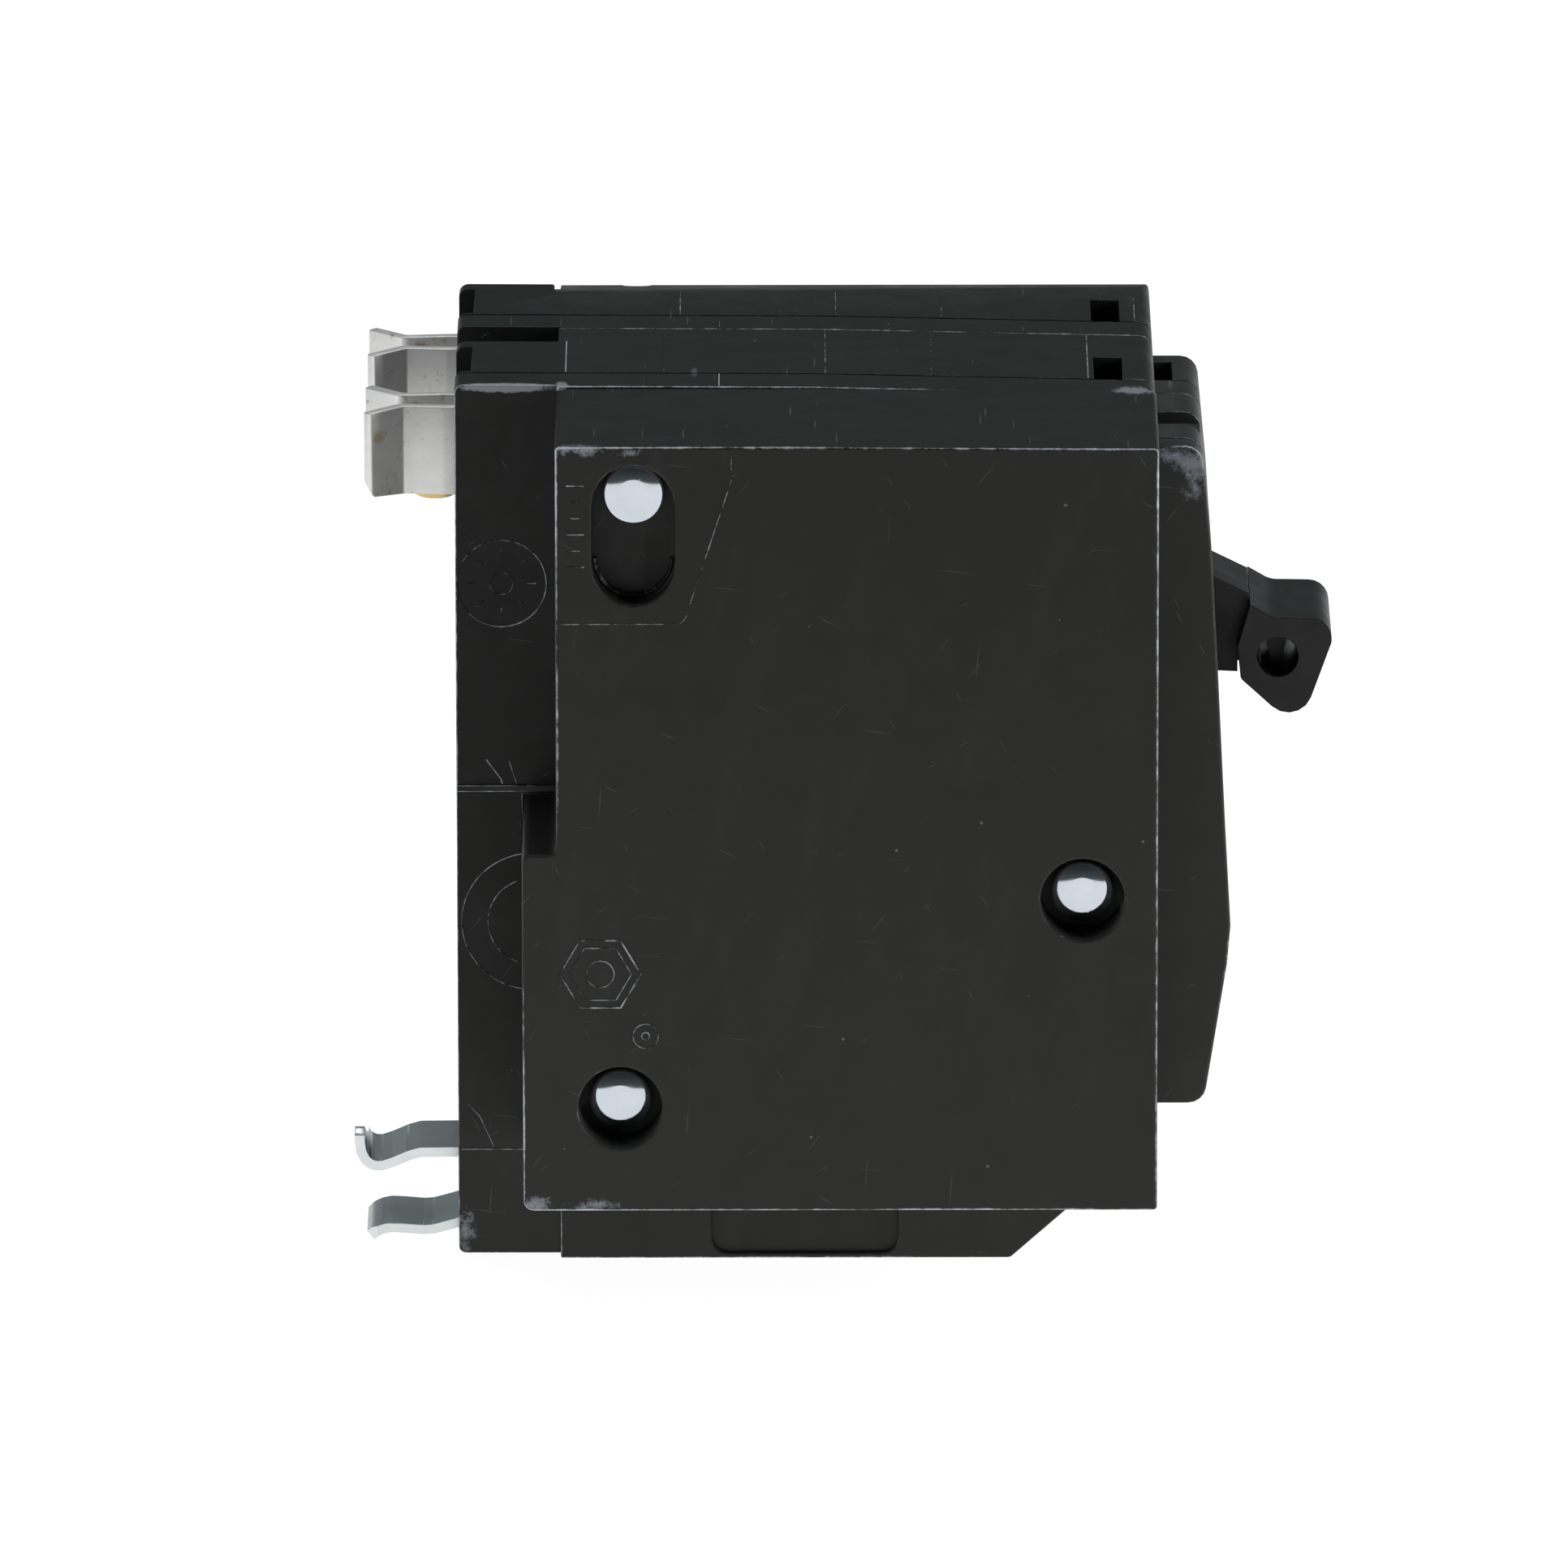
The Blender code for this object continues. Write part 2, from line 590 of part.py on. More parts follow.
def accessory_module():
    """The shunt-trip module: a tub open towards the poles, closed by a plate, with a solenoid inside."""
    name = "accessory_housing"
    near = ACCESSORY - MODULE_PITCH / 2
    rim = ACCESSORY + MODULE_PITCH / 2 - SEAM / 2
    tub = prism(name, rounded(ACCESSORY_OUTLINE), near, rim, plastic(name))
    floor = near + WALL
    cut(tub, prism(name + "_hollow", ACCESSORY_CAVITY, floor, rim + PAST))
    fuse(tub, block(name + "_slot_pad", SLOT_PAD[0], (floor - 0.5, near + SLOT_DEPTH + WALL), SLOT_PAD[1]))
    for key in ("front", "back"):
        fuse(tub, prism(f"{name}_post_{key}", circle(RIVETS[key], POST_RADIUS), floor - 0.5, rim - 2.4))
    cut(tub, prism(name + "_slot", obround(*RIVET_SLOT), near - PAST, near + SLOT_DEPTH))
    for key in ("front", "back"):
        bore = circle(RIVETS[key], COUNTERBORE_RADIUS, 32)
        cut(tub, prism(f"{name}_bore_{key}", bore, near - PAST, near + COUNTERBORE_DEPTH))
    cut(tub, *rivet_holes(name, near - PAST, rim + PAST))

    name = "accessory_back_plate"
    outer = rim - 0.2
    plate = prism(name, offset(ACCESSORY_CAVITY, GAP), outer - PLATE_THICKNESS, outer, dark_plastic(name))
    cut(plate, crossbar_window(name, rim - 3, rim + PAST), *rivet_holes(name, rim - 3, rim + PAST))


def obround(x_range, z_range, steps=10):
    """An upright slot with a half-round at each end."""
    radius = (x_range[1] - x_range[0]) / 2
    middle = (x_range[0] + x_range[1]) / 2
    turns = [180 * step / steps for step in range(steps + 1)]
    top = [polar((middle, z_range[1] - radius), radius, turn) for turn in turns]
    bottom = [polar((middle, z_range[0] + radius), radius, 180 + turn) for turn in turns]
    return top + bottom


def solenoid():
    """Bobbin, winding, steel frame, plunger and return spring of the shunt trip."""
    nylon = material("solenoid_bobbin_nylon", (0.75, 0.73, 0.66), 0.45, 0.0)
    turned("solenoid_bobbin", BOBBIN_PROFILE, SOLENOID, nylon, "Z")
    turned("solenoid_coil", COIL_PROFILE, SOLENOID, copper("solenoid_coil"), "Z")
    name = "solenoid_frame"
    x, y = SOLENOID
    path = ((x + 4.0, 32.0), (x - 8.2, 32.0), (x - 8.2, 55.0), (x + 4.0, 55.0))
    frame = prism(name, strip_outline(path, 1.2), y - 6.0, y + 6.0, steel(name))
    cut(frame, prism(name + "_bore", circle((x, y), 2.5), 30, 57, axis="Z"))
    plunger = turned("solenoid_plunger", PLUNGER_PROFILE, SOLENOID, steel("solenoid_plunger"), "Z", 20)
    set_origin(plunger, x, y, PLUNGER_PROFILE[0][1])
    wire("plunger_spring", coil(SOLENOID, 2.75, 56.1, 58.05, 3), 0.2, steel("plunger_spring"))


def handle():
    """The handle lever with its barrel and hub, the cap on its end, and the steel pin it turns on."""
    name = "handle_lever"
    low = SHARED_PLANE - STALK_WIDTH / 2
    high = SHARED_PLANE + STALK_WIDTH / 2
    lever = prism(name, STALK, low, high, plastic(name))
    sector = [polar(PIVOT, BARREL_RADIUS, -94 + 150 * step / 20) for step in range(21)]
    fuse(lever, prism(name + "_barrel", [PIVOT] + sector, low, high))
    fuse(lever, prism(name + "_hub", circle(PIVOT, HUB_RADIUS, 32), *HUB_Y))
    bore = circle(PIVOT, PIVOT_PIN_RADIUS + RUNNING_CLEARANCE, 32)
    cut(lever, prism(name + "_bore", bore, HUB_Y[0] - PAST, HUB_Y[1] + PAST))
    for tag, centre in POLES:
        middle = centre + WORKS_OFFSET
        notch = circle(notch_point(0), NOTCH_RADIUS)
        cut(lever, prism(f"{name}_notch_{tag}", notch, middle - 1.4, middle + 1.4))
    set_origin(lever, PIVOT[0], SHARED_PLANE, PIVOT[1])

    name = "handle_cap"
    half = CAP_WIDTH / 2
    cap = prism(name, rounded(CAP_OUTLINE, 5), SHARED_PLANE - half, SHARED_PLANE + half, plastic(name))
    cut(cap, prism(name + "_socket", CAP_SOCKET, low - GAP, high + GAP))
    hole = circle(CAP_HOLE, CAP_HOLE_RADIUS)
    cut(cap, prism(name + "_hole", hole, SHARED_PLANE - half - PAST, SHARED_PLANE + half + PAST))
    half = CAP_WEB_WIDTH / 2
    fuse(cap, prism(name + "_web", CAP_WEB, SHARED_PLANE - half, SHARED_PLANE + half))
    set_origin(cap, PIVOT[0], SHARED_PLANE, PIVOT[1])

    name = "handle_pivot_pin"
    pin = ((0.0, PIN_Y[0]), (PIVOT_PIN_RADIUS, PIN_Y[0]), (PIVOT_PIN_RADIUS, PIN_Y[1]), (0.0, PIN_Y[1]))
    turned(name, pin, PIVOT, steel(name), sides=32)


def notch_point(throw):
    """The notch that holds the upper end of the contact arms, at a throw of the handle in degrees."""
    return polar(PIVOT, NOTCH_DISTANCE, NOTCH_ANGLE + throw)


def along_arm(distance, height):
    """A point of the open contact arm, by its distance from the notch and its height over the centre line."""
    point = polar(notch_point(0), distance, ARM_OFF_ANGLE)
    return polar(point, height, ARM_OFF_ANGLE - 90)


def contact_arm(tag, centre):
    """The switching arm with its contact button, and the spring that pulls it."""
    name = f"contact_arm_{tag}"
    middle = centre + WORKS_OFFSET
    half = ARM_THICKNESS / 2
    outline = [
        along_arm(0.0, ARM_HALF_HEIGHT), along_arm(0.0, -ARM_HALF_HEIGHT), along_arm(12.0, -2.0),
        along_arm(19.0, -2.0), along_arm(ARM_LENGTH, -1.2), along_arm(ARM_LENGTH, ARM_HALF_HEIGHT),
    ]
    arm = prism(name, outline[::-1], middle - half, middle + half, copper(name))
    knuckle = circle(notch_point(0), KNUCKLE_RADIUS)
    fuse(arm, prism(name + "_knuckle", knuckle, middle - half, middle + half))
    set_origin(arm, notch_point(0)[0], middle, notch_point(0)[1])

    name = f"moving_contact_{tag}"
    outline = [
        along_arm(CONTACT_AT - CONTACT_RADIUS, ARM_HALF_HEIGHT + 0.05),
        along_arm(CONTACT_AT + CONTACT_RADIUS, ARM_HALF_HEIGHT + 0.05),
        along_arm(CONTACT_AT + CONTACT_RADIUS, ARM_HALF_HEIGHT + CONTACT_HEIGHT),
        along_arm(CONTACT_AT - CONTACT_RADIUS, ARM_HALF_HEIGHT + CONTACT_HEIGHT),
    ]
    button = prism(name, outline, middle - CONTACT_RADIUS, middle + CONTACT_RADIUS, silver(name))
    set_origin(button, notch_point(0)[0], middle, notch_point(0)[1])

    name = f"operating_spring_{tag}"
    hook_high = along_arm(15.6, -2.0)[1] - 0.6
    wire(name, coil((SPRING_FOOT[0], middle), 1.9, SPRING_FOOT[1], hook_high, 8), 0.3, steel(name))


def closed_contact_frame():
    """Where the closed arm's contact face lies: a point of it, and unit directions along and out of it."""
    turn = math.radians(ARM_ON_ANGLE)
    along = Vector((math.cos(turn), math.sin(turn)))
    out = Vector((math.sin(turn), -math.cos(turn)))
    face = Vector(notch_point(HANDLE_THROW)) + along * CONTACT_AT + out * (ARM_HALF_HEIGHT + CONTACT_HEIGHT)
    return face, along, out


def line_side(tag, centre):
    """The plug-on jaw, the strap that leads from it, and the fixed contact."""
    name = f"line_jaw_{tag}"
    middle = centre + JAW_OFFSET
    path = [(x, middle + y) for x, y in JAW_PATH[::-1]] + [(x, middle - y) for x, y in JAW_PATH]
    jaw = prism(name, strip_outline(path, JAW_THICKNESS), JAW_Z[0], JAW_Z[1], tinned(name), axis="Z")
    tip = [(x, JAW_Z[0] + z) for x, z in JAW_TIP_CUT]
    cut(jaw, prism(name + "_tip_chamfer", tip, middle - 6, middle + 6))

    name = f"line_terminal_{tag}"
    middle = centre + WORKS_OFFSET
    face, along, out = closed_contact_frame()
    spot = face + out * (GAP + CONTACT_HEIGHT + 0.05 + STRAP_THICKNESS / 2)
    bend = spot + along * ((STRAP_HEIGHT - spot.y) / along.y)
    end = spot - along * 5.0
    path = ((5.2, STRAP_HEIGHT), tuple(bend), tuple(end))
    prism(name, strip_outline(path, STRAP_THICKNESS), middle - 3.0, middle + 3.0, copper(name))

    name = f"fixed_contact_{tag}"
    start = face + out * GAP
    reach = along * CONTACT_RADIUS
    top = start + out * CONTACT_HEIGHT
    outline = [tuple(corner) for corner in (start + reach, start - reach, top - reach, top + reach)]
    prism(name, outline, middle - CONTACT_RADIUS, middle + CONTACT_RADIUS, silver(name))


def arc_chute(tag, centre):
    """Steel splitter plates on a common back, in front of the contact tip."""
    name = f"arc_chute_{tag}"
    middle = centre + WORKS_OFFSET
    low = middle - CHUTE_HALF_WIDTH
    high = middle + CHUTE_HALF_WIDTH
    plated = material(name + "_plated_steel", (0.42, 0.42, 0.42), 0.45, 1.0)
    chute = prism(name, CHUTE_BACK, low, high, plated)
    for level in range(CHUTE_PLATES):
        z = CHUTE_BACK[0][1] + 0.8 + CHUTE_PITCH * level
        fuse(chute, block(f"{name}_plate_{level}", (12.0, 20.6), (low, high), (z, z + 1.0)))
    notch = ((15.5, middle), (22.0, middle - 2.6), (22.0, middle + 2.6))
    cut(chute, prism(name + "_notch", notch, 40, 70, axis="Z"))


def trip_works(tag, centre):
    """The cradle and its pin, the bimetal, the magnet yoke, the armature, and the contact arm's braid."""
    middle = centre + WORKS_OFFSET
    name = f"trip_cradle_{tag}"
    cradle = prism(name, rounded(CRADLE_OUTLINE, 3), middle - 1.0, middle + 1.0, steel(name))
    bore = circle(CRADLE_PIVOT, CRADLE_PIN_RADIUS + RUNNING_CLEARANCE)
    cut(cradle, prism(name + "_bore", bore, middle - 3, middle + 3))
    set_origin(cradle, CRADLE_PIVOT[0], middle, CRADLE_PIVOT[1])
    name = f"cradle_pin_{tag}"
    low = centre - MODULE_PITCH / 2 + SEAM / 2 + WALL + GAP
    high = centre + MODULE_PITCH / 2 - SEAM / 2 - WALL - GAP
    pin = ((0.0, low), (CRADLE_PIN_RADIUS, low), (CRADLE_PIN_RADIUS, high), (0.0, high))
    turned(name, pin, CRADLE_PIVOT, steel(name))

    name = f"bimetal_strip_{tag}"
    prism(name, strip_outline(((50.7, 13.9), (50.7, 36.4)), 1.0), middle - 3.5, middle + 3.5,
          material(name + "_bimetal", (0.55, 0.5, 0.45), 0.4, 1.0))
    name = f"magnet_yoke_{tag}"
    yoke_path = ((49.3, middle - 4.7), (52.1, middle - 4.7), (52.1, middle + 4.7), (49.3, middle + 4.7))
    prism(name, strip_outline(yoke_path, 1.1), 20.0, 30.0, steel(name), axis="Z")
    name = f"armature_{tag}"
    armature = block(name, (46.9, 47.9), (middle - 4.5, middle + 4.5), (17.0, 37.4), steel(name))
    cut(armature, block(name + "_window", (46, 49), (middle - 1.6, middle + 1.6), (32.6, 35.6)))
    set_origin(armature, ARMATURE_HINGE[0], middle, ARMATURE_HINGE[1])

    name = f"flexible_braid_{tag}"
    wire(name, braid_route(middle), 0.9, copper(name), resolution=2)


def braid_route(middle):
    """A slack curve from the top of the bimetal to the underside of the contact arm."""
    start = Vector((50.7, 37.8))
    end = Vector((46.5, 54.6))
    bulge = Vector((6.0, 1.0))
    points = []
    for step in range(15):
        share = step / 14
        spot = start.lerp(end, share) + bulge * math.sin(math.pi * share) * (1 - share * 0.8)
        points.append((spot.x, middle, spot.y))
    return points


def load_side(tag, centre):
    """The load strap, the box lug with its clamp plate and screw, and the calibration screw."""
    name = f"load_terminal_{tag}"
    path = ((40.9, 5.0), (40.9, 12.9), (51.9, 12.9))
    strap = prism(name, strip_outline(path, 1.0), centre - 3.4, centre + 3.4, tinned(name))
    middle = centre + WORKS_OFFSET
    fuse(strap, block(name + "_arm", (30.6, 41.2), (middle - 1.9, middle + 1.9), (12.4, 13.4)))

    name = f"terminal_lug_{tag}"
    low = centre - LUG_HALF_WIDTH
    high = centre + LUG_HALF_WIDTH
    lug = prism(name, rounded_box(LUG_X, (low, high), 0.9), LUG_Z[0], LUG_Z[1], steel(name), axis="Z")
    inner = ((LUG_X[0] + LUG_WALL, LUG_X[1] - LUG_WALL), (low + LUG_WALL, high - LUG_WALL))
    cut(
        lug,
        prism(name + "_hollow", rounded_box(*inner, 0.4), 2, 13, axis="Z"),
        prism(name + "_screw_hole", circle((centre, SCREW_HEIGHT), SCREW_RADIUS + 0.1), 48, 52, axis="X"),
    )

    name = f"clamp_plate_{tag}"
    plate = block(name, PLATE_X, (centre - 3.5, centre + 3.5), PLATE_Z, steel(name))
    set_origin(plate, PLATE_X[0], centre, SCREW_HEIGHT)

    name = f"terminal_screw_{tag}"
    tip = PLATE_X[1] + GAP
    profile = [
        (0.0, tip), (1.9, tip), (SCREW_RADIUS, tip + 0.5), (SCREW_RADIUS, 53.0), (2.2, 53.3), (0.0, 53.3),
    ]
    screw = turned(name, profile, (centre, SCREW_HEIGHT), steel(name), "X")
    slot = (centre - SCREW_SLOT / 2, centre + SCREW_SLOT / 2)
    cut(screw, block(name + "_slot", (52.1, 54), slot, (SCREW_HEIGHT - 3, SCREW_HEIGHT + 3)))
    set_origin(screw, tip, centre, SCREW_HEIGHT)

    name = f"calibration_screw_{tag}"
    profile = ((0.0, 2.6), (CALIBRATION_RADIUS, 2.6), (CALIBRATION_RADIUS, 12.0), (0.0, 12.0))
    brass = material(name + "_brass", (0.72, 0.53, 0.25), 0.35, 1.0)
    screw = turned(name, profile, (CALIBRATION_X, middle), brass, "Z", 16)
    slot = (CALIBRATION_X - 0.3, CALIBRATION_X + 0.3)
    cut(screw, block(name + "_slot", slot, (middle - 2, middle + 2), (2, 3.3)))


def crossbar():
    """The common trip bar across all modules, with a finger at each armature and one under the plunger."""
    name = "trip_crossbar"
    bar = prism(name, circle(CROSSBAR, CROSSBAR_RADIUS), *CROSSBAR_ENDS, dark_plastic(name))
    x = CROSSBAR[0]
    for tag, centre in POLES:
        middle = centre + WORKS_OFFSET
        fuse(bar, block(f"{name}_finger_{tag}", (x, 46.2), (middle - 1.5, middle + 1.5), (23.0, 25.0)))
    middle = SOLENOID[1]
    fuse(bar, block(name + "_plunger_finger", (32.0, x), (middle - 2, middle + 2), (22.8, 25.2)))
    set_origin(bar, x, 0.0, CROSSBAR[1])


def rail_clip():
    """The spring clip behind the load end that grips the mounting rail."""
    name = "rail_clip"
    clip = prism(name, strip_outline(CLIP_UPPER + CLIP_LOWER, CLIP_THICKNESS), *CLIP_Y, steel(name))
    cut(
        clip,
        prism(name + "_upper_tip_far", UPPER_TIP_FAR_CUT, -10, -8.05, axis="X"),
        prism(name + "_upper_tip_near", UPPER_TIP_NEAR_CUT, -10, -8.05, axis="X"),
        prism(name + "_lower_tip_near", LOWER_TIP_NEAR_CUT, -1, 2, axis="Z"),
    )


def build():
    for old in list(bpy.data.objects):
        bpy.data.objects.remove(old)
    for tag, centre in POLES:
        pole_base(tag, centre)
        pole_cover(tag, centre)
        line_side(tag, centre)
        contact_arm(tag, centre)
        arc_chute(tag, centre)
        trip_works(tag, centre)
        load_side(tag, centre)
    accessory_module()
    solenoid()
    handle()
    crossbar()
    rail_clip()
    rivets()


build()
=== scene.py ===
"""Looks of the plug-on circuit breaker: finer shapes around the frame, finishes, floor, light and camera.

Sizes are in millimetres until place() turns them into the frame's metres. x is measured from the back
face of the poles, z from the surface that the breaker stands on, and +y leads away from the shunt-trip
module.
"""

import json
import math

import bmesh
import bpy
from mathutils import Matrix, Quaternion, Vector

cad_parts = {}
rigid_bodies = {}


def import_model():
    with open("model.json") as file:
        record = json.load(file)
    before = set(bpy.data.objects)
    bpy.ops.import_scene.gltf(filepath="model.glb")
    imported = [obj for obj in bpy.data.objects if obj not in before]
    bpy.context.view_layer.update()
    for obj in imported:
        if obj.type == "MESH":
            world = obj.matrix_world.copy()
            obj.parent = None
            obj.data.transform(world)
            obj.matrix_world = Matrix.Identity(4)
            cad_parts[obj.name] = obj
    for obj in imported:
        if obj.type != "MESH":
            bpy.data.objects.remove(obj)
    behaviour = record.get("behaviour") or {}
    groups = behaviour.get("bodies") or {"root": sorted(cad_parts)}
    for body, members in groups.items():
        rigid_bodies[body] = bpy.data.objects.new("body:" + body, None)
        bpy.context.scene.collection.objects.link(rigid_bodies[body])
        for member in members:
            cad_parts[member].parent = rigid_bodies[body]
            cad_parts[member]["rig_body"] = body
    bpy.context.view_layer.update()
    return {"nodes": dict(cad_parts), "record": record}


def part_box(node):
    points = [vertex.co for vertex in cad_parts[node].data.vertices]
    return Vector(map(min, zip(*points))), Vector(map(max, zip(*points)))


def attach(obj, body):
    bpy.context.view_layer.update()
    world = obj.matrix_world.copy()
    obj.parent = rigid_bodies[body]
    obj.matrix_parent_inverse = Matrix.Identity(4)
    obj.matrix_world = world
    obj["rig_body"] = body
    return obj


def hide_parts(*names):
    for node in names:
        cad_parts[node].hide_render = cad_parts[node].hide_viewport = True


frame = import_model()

MM = 0.001
X_MIDDLE = 33.6
PITCH = 19.05
POLES = (("a", PITCH), ("b", 0.0))
WORKS_OFFSET = -1.5
JAW_OFFSET = -1.9
FAR_FACE = 1.5 * PITCH
NEAR_FACE = -1.5 * PITCH
STRIP_FACE = -PITCH / 2 + 0.5
RIDGE_X = 31.0
FRONT_X = 60.7
BACK_TOP = 79.2
RIDGE_TOP = 79.05
FRONT_TOP = 78.4
SLOTS = {part["node"]: part["material_slot"] for part in frame["record"]["subparts"]}


def place(x, y, z):
    """A point of the breaker, in metres."""
    return Vector(((x - X_MIDDLE) * MM, y * MM, z * MM))


# Finishes


class Finish:
    """A material and short ways to add nodes to it."""

    def __init__(self, name, roughness, metallic=0.0, specular=0.5):
        self.material = bpy.data.materials.new(name)
        self.material.use_nodes = True
        self.tree = self.material.node_tree
        self.shader = self.tree.nodes["Principled BSDF"]
        self.shader.inputs["Metallic"].default_value = metallic
        self.shader.inputs["Roughness"].default_value = roughness
        self.shader.inputs["Specular IOR Level"].default_value = specular
        self.where = self.node("ShaderNodeTexCoord").outputs["Object"]

    def node(self, kind, **settings):
        made = self.tree.nodes.new(kind)
        for key, value in settings.items():
            setattr(made, key, value)
        return made

    def feed(self, socket, value):
        """Links an output to a socket, or sets the socket to a plain value."""
        if isinstance(value, bpy.types.NodeSocket):
            self.tree.links.new(value, socket)
        else:
            socket.default_value = value

    def stretched(self, scale, turn=(0.0, 0.0, 0.0)):
        """Object coordinates turned by degrees and scaled by axis, for grain that runs one way."""
        mapping = self.node("ShaderNodeMapping", vector_type="TEXTURE")
        mapping.inputs["Rotation"].default_value = [math.radians(angle) for angle in turn]
        self.feed(mapping.inputs["Vector"], self.where)
        scaled = self.node("ShaderNodeVectorMath", operation="MULTIPLY")
        self.feed(scaled.inputs[0], mapping.outputs[0])
        self.feed(scaled.inputs[1], scale)
        return scaled.outputs[0]

    def noise(self, scale, detail=3.0, rough=0.5, where=None):
        made = self.node("ShaderNodeTexNoise")
        self.feed(made.inputs["Vector"], where or self.where)
        made.inputs["Scale"].default_value = scale
        made.inputs["Detail"].default_value = detail
        made.inputs["Roughness"].default_value = rough
        return made.outputs["Fac"]

    def spots(self, scale, radius, chosen, where=None):
        """Up to 1 inside small spots, and 0 elsewhere. Stretched space makes them scratches."""
        cells = self.node("ShaderNodeTexVoronoi")
        self.feed(cells.inputs["Vector"], where or self.where)
        cells.inputs["Scale"].default_value = scale
        inside = self.span(cells.outputs["Distance"], radius, radius * 0.35, 0.0, 1.0)
        pick = self.node("ShaderNodeSeparateColor")
        self.feed(pick.inputs[0], cells.outputs["Color"])
        lucky = self.math("GREATER_THAN", pick.outputs[0], 1.0 - chosen)
        strength = self.math("MULTIPLY", lucky, pick.outputs[1])
        return self.math("MULTIPLY", inside, strength)

    def span(self, value, low, high, to_low=0.0, to_high=1.0):
        """Maps a value from one range to another, clamped."""
        made = self.node("ShaderNodeMapRange")
        self.feed(made.inputs["Value"], value)
        for key, number in zip(("From Min", "From Max", "To Min", "To Max"), (low, high, to_low, to_high)):
            made.inputs[key].default_value = number
        return made.outputs[0]

    def math(self, operation, first, second=0.0):
        made = self.node("ShaderNodeMath", operation=operation)
        self.feed(made.inputs[0], first)
        self.feed(made.inputs[1], second)
        return made.outputs[0]

    def mix(self, factor, first, second):
        """A colour between two colours."""
        made = self.node("ShaderNodeMix", data_type="RGBA")
        self.feed(made.inputs["Factor"], factor)
        for socket, value in ((made.inputs[6], first), (made.inputs[7], second)):
            self.feed(socket, (*value, 1.0) if isinstance(value, tuple) else value)
        return made.outputs[2]

    def near(self, spot, reach, core=0.0):
        """1 at a point of the breaker, fading to 0 at a reach along x, y and z, all in millimetres."""
        offset = self.node("ShaderNodeVectorMath", operation="SUBTRACT")
        self.feed(offset.inputs[0], self.where)
        self.feed(offset.inputs[1], place(*spot))
        share = self.node("ShaderNodeVectorMath", operation="DIVIDE")
        self.feed(share.inputs[0], offset.outputs[0])
        self.feed(share.inputs[1], [size * MM for size in reach])
        length = self.node("ShaderNodeVectorMath", operation="LENGTH")
        self.feed(length.inputs[0], share.outputs[0])
        return self.span(length.outputs["Value"], 1.0, core)

    def attribute(self, name):
        return self.node("ShaderNodeAttribute", attribute_name=name).outputs["Fac"]

    def colour(self, value):
        self.feed(self.shader.inputs["Base Color"], value)

    def roughness(self, value):
        self.feed(self.shader.inputs["Roughness"], value)

    def bump(self, *layers):
        """Stacks bumps, each given as (height, depth in millimetres)."""
        last = None
        for height, depth in layers:
            made = self.node("ShaderNodeBump")
            made.inputs["Distance"].default_value = depth * MM
            self.feed(made.inputs["Height"], height)
            if last:
                self.feed(made.inputs["Normal"], last)
            last = made.outputs[0]
        self.feed(self.shader.inputs["Normal"], last)


# Rubbed places of the case: middle, reach along x, y and z, how solid the middle is, strength
SCUFFS = (
    ((63.9, -7.4, 71.6), (2.3, 2.0, 1.7), 0.0, 1.1),
    ((62.2, -7.5, 72.3), (1.6, 1.2, 1.0), 0.0, 0.9),
    ((64.0, -7.5, 69.4), (1.6, 1.0, 1.9), 0.0, 0.7),
    ((15.2, -28.6, 78.5), (1.8, 1.0, 0.7), 0.0, 0.65),
    ((11.0, -28.6, 78.8), (2.8, 1.4, 0.8), 0.0, 0.9),
    ((7.0, -28.6, 10.9), (1.8, 1.2, 1.2), 0.2, 0.95),
    ((58.9, -9.2, 78.6), (2.6, 2.6, 1.0), 0.3, 1.35),
    ((60.4, -9.3, 77.2), (1.0, 1.6, 2.2), 0.3, 1.2),
    ((4.4, -9.2, 79.0), (5.0, 0.9, 0.65), 0.5, 1.3),
    ((9.3, -9.0, 79.1), (0.7, 1.4, 0.8), 0.3, 1.2),
    ((0.6, -9.3, 2.4), (1.1, 1.2, 2.8), 0.0, 0.85),
    ((12.0, -28.6, 10.9), (3.0, 1.0, 0.8), 0.0, 0.6),
)


# Scratches of the case: their direction in degrees, and how tightly they lie along x, y and z
SCRATCHES = (
    (4, (1900, 60, 60)), (-63, (1700, 60, 120)), (38, (2300, 60, 90)), (97, (2600, 60, 70)),
    (62, (2100, 60, 200)), (-28, (2400, 60, 160)),
)


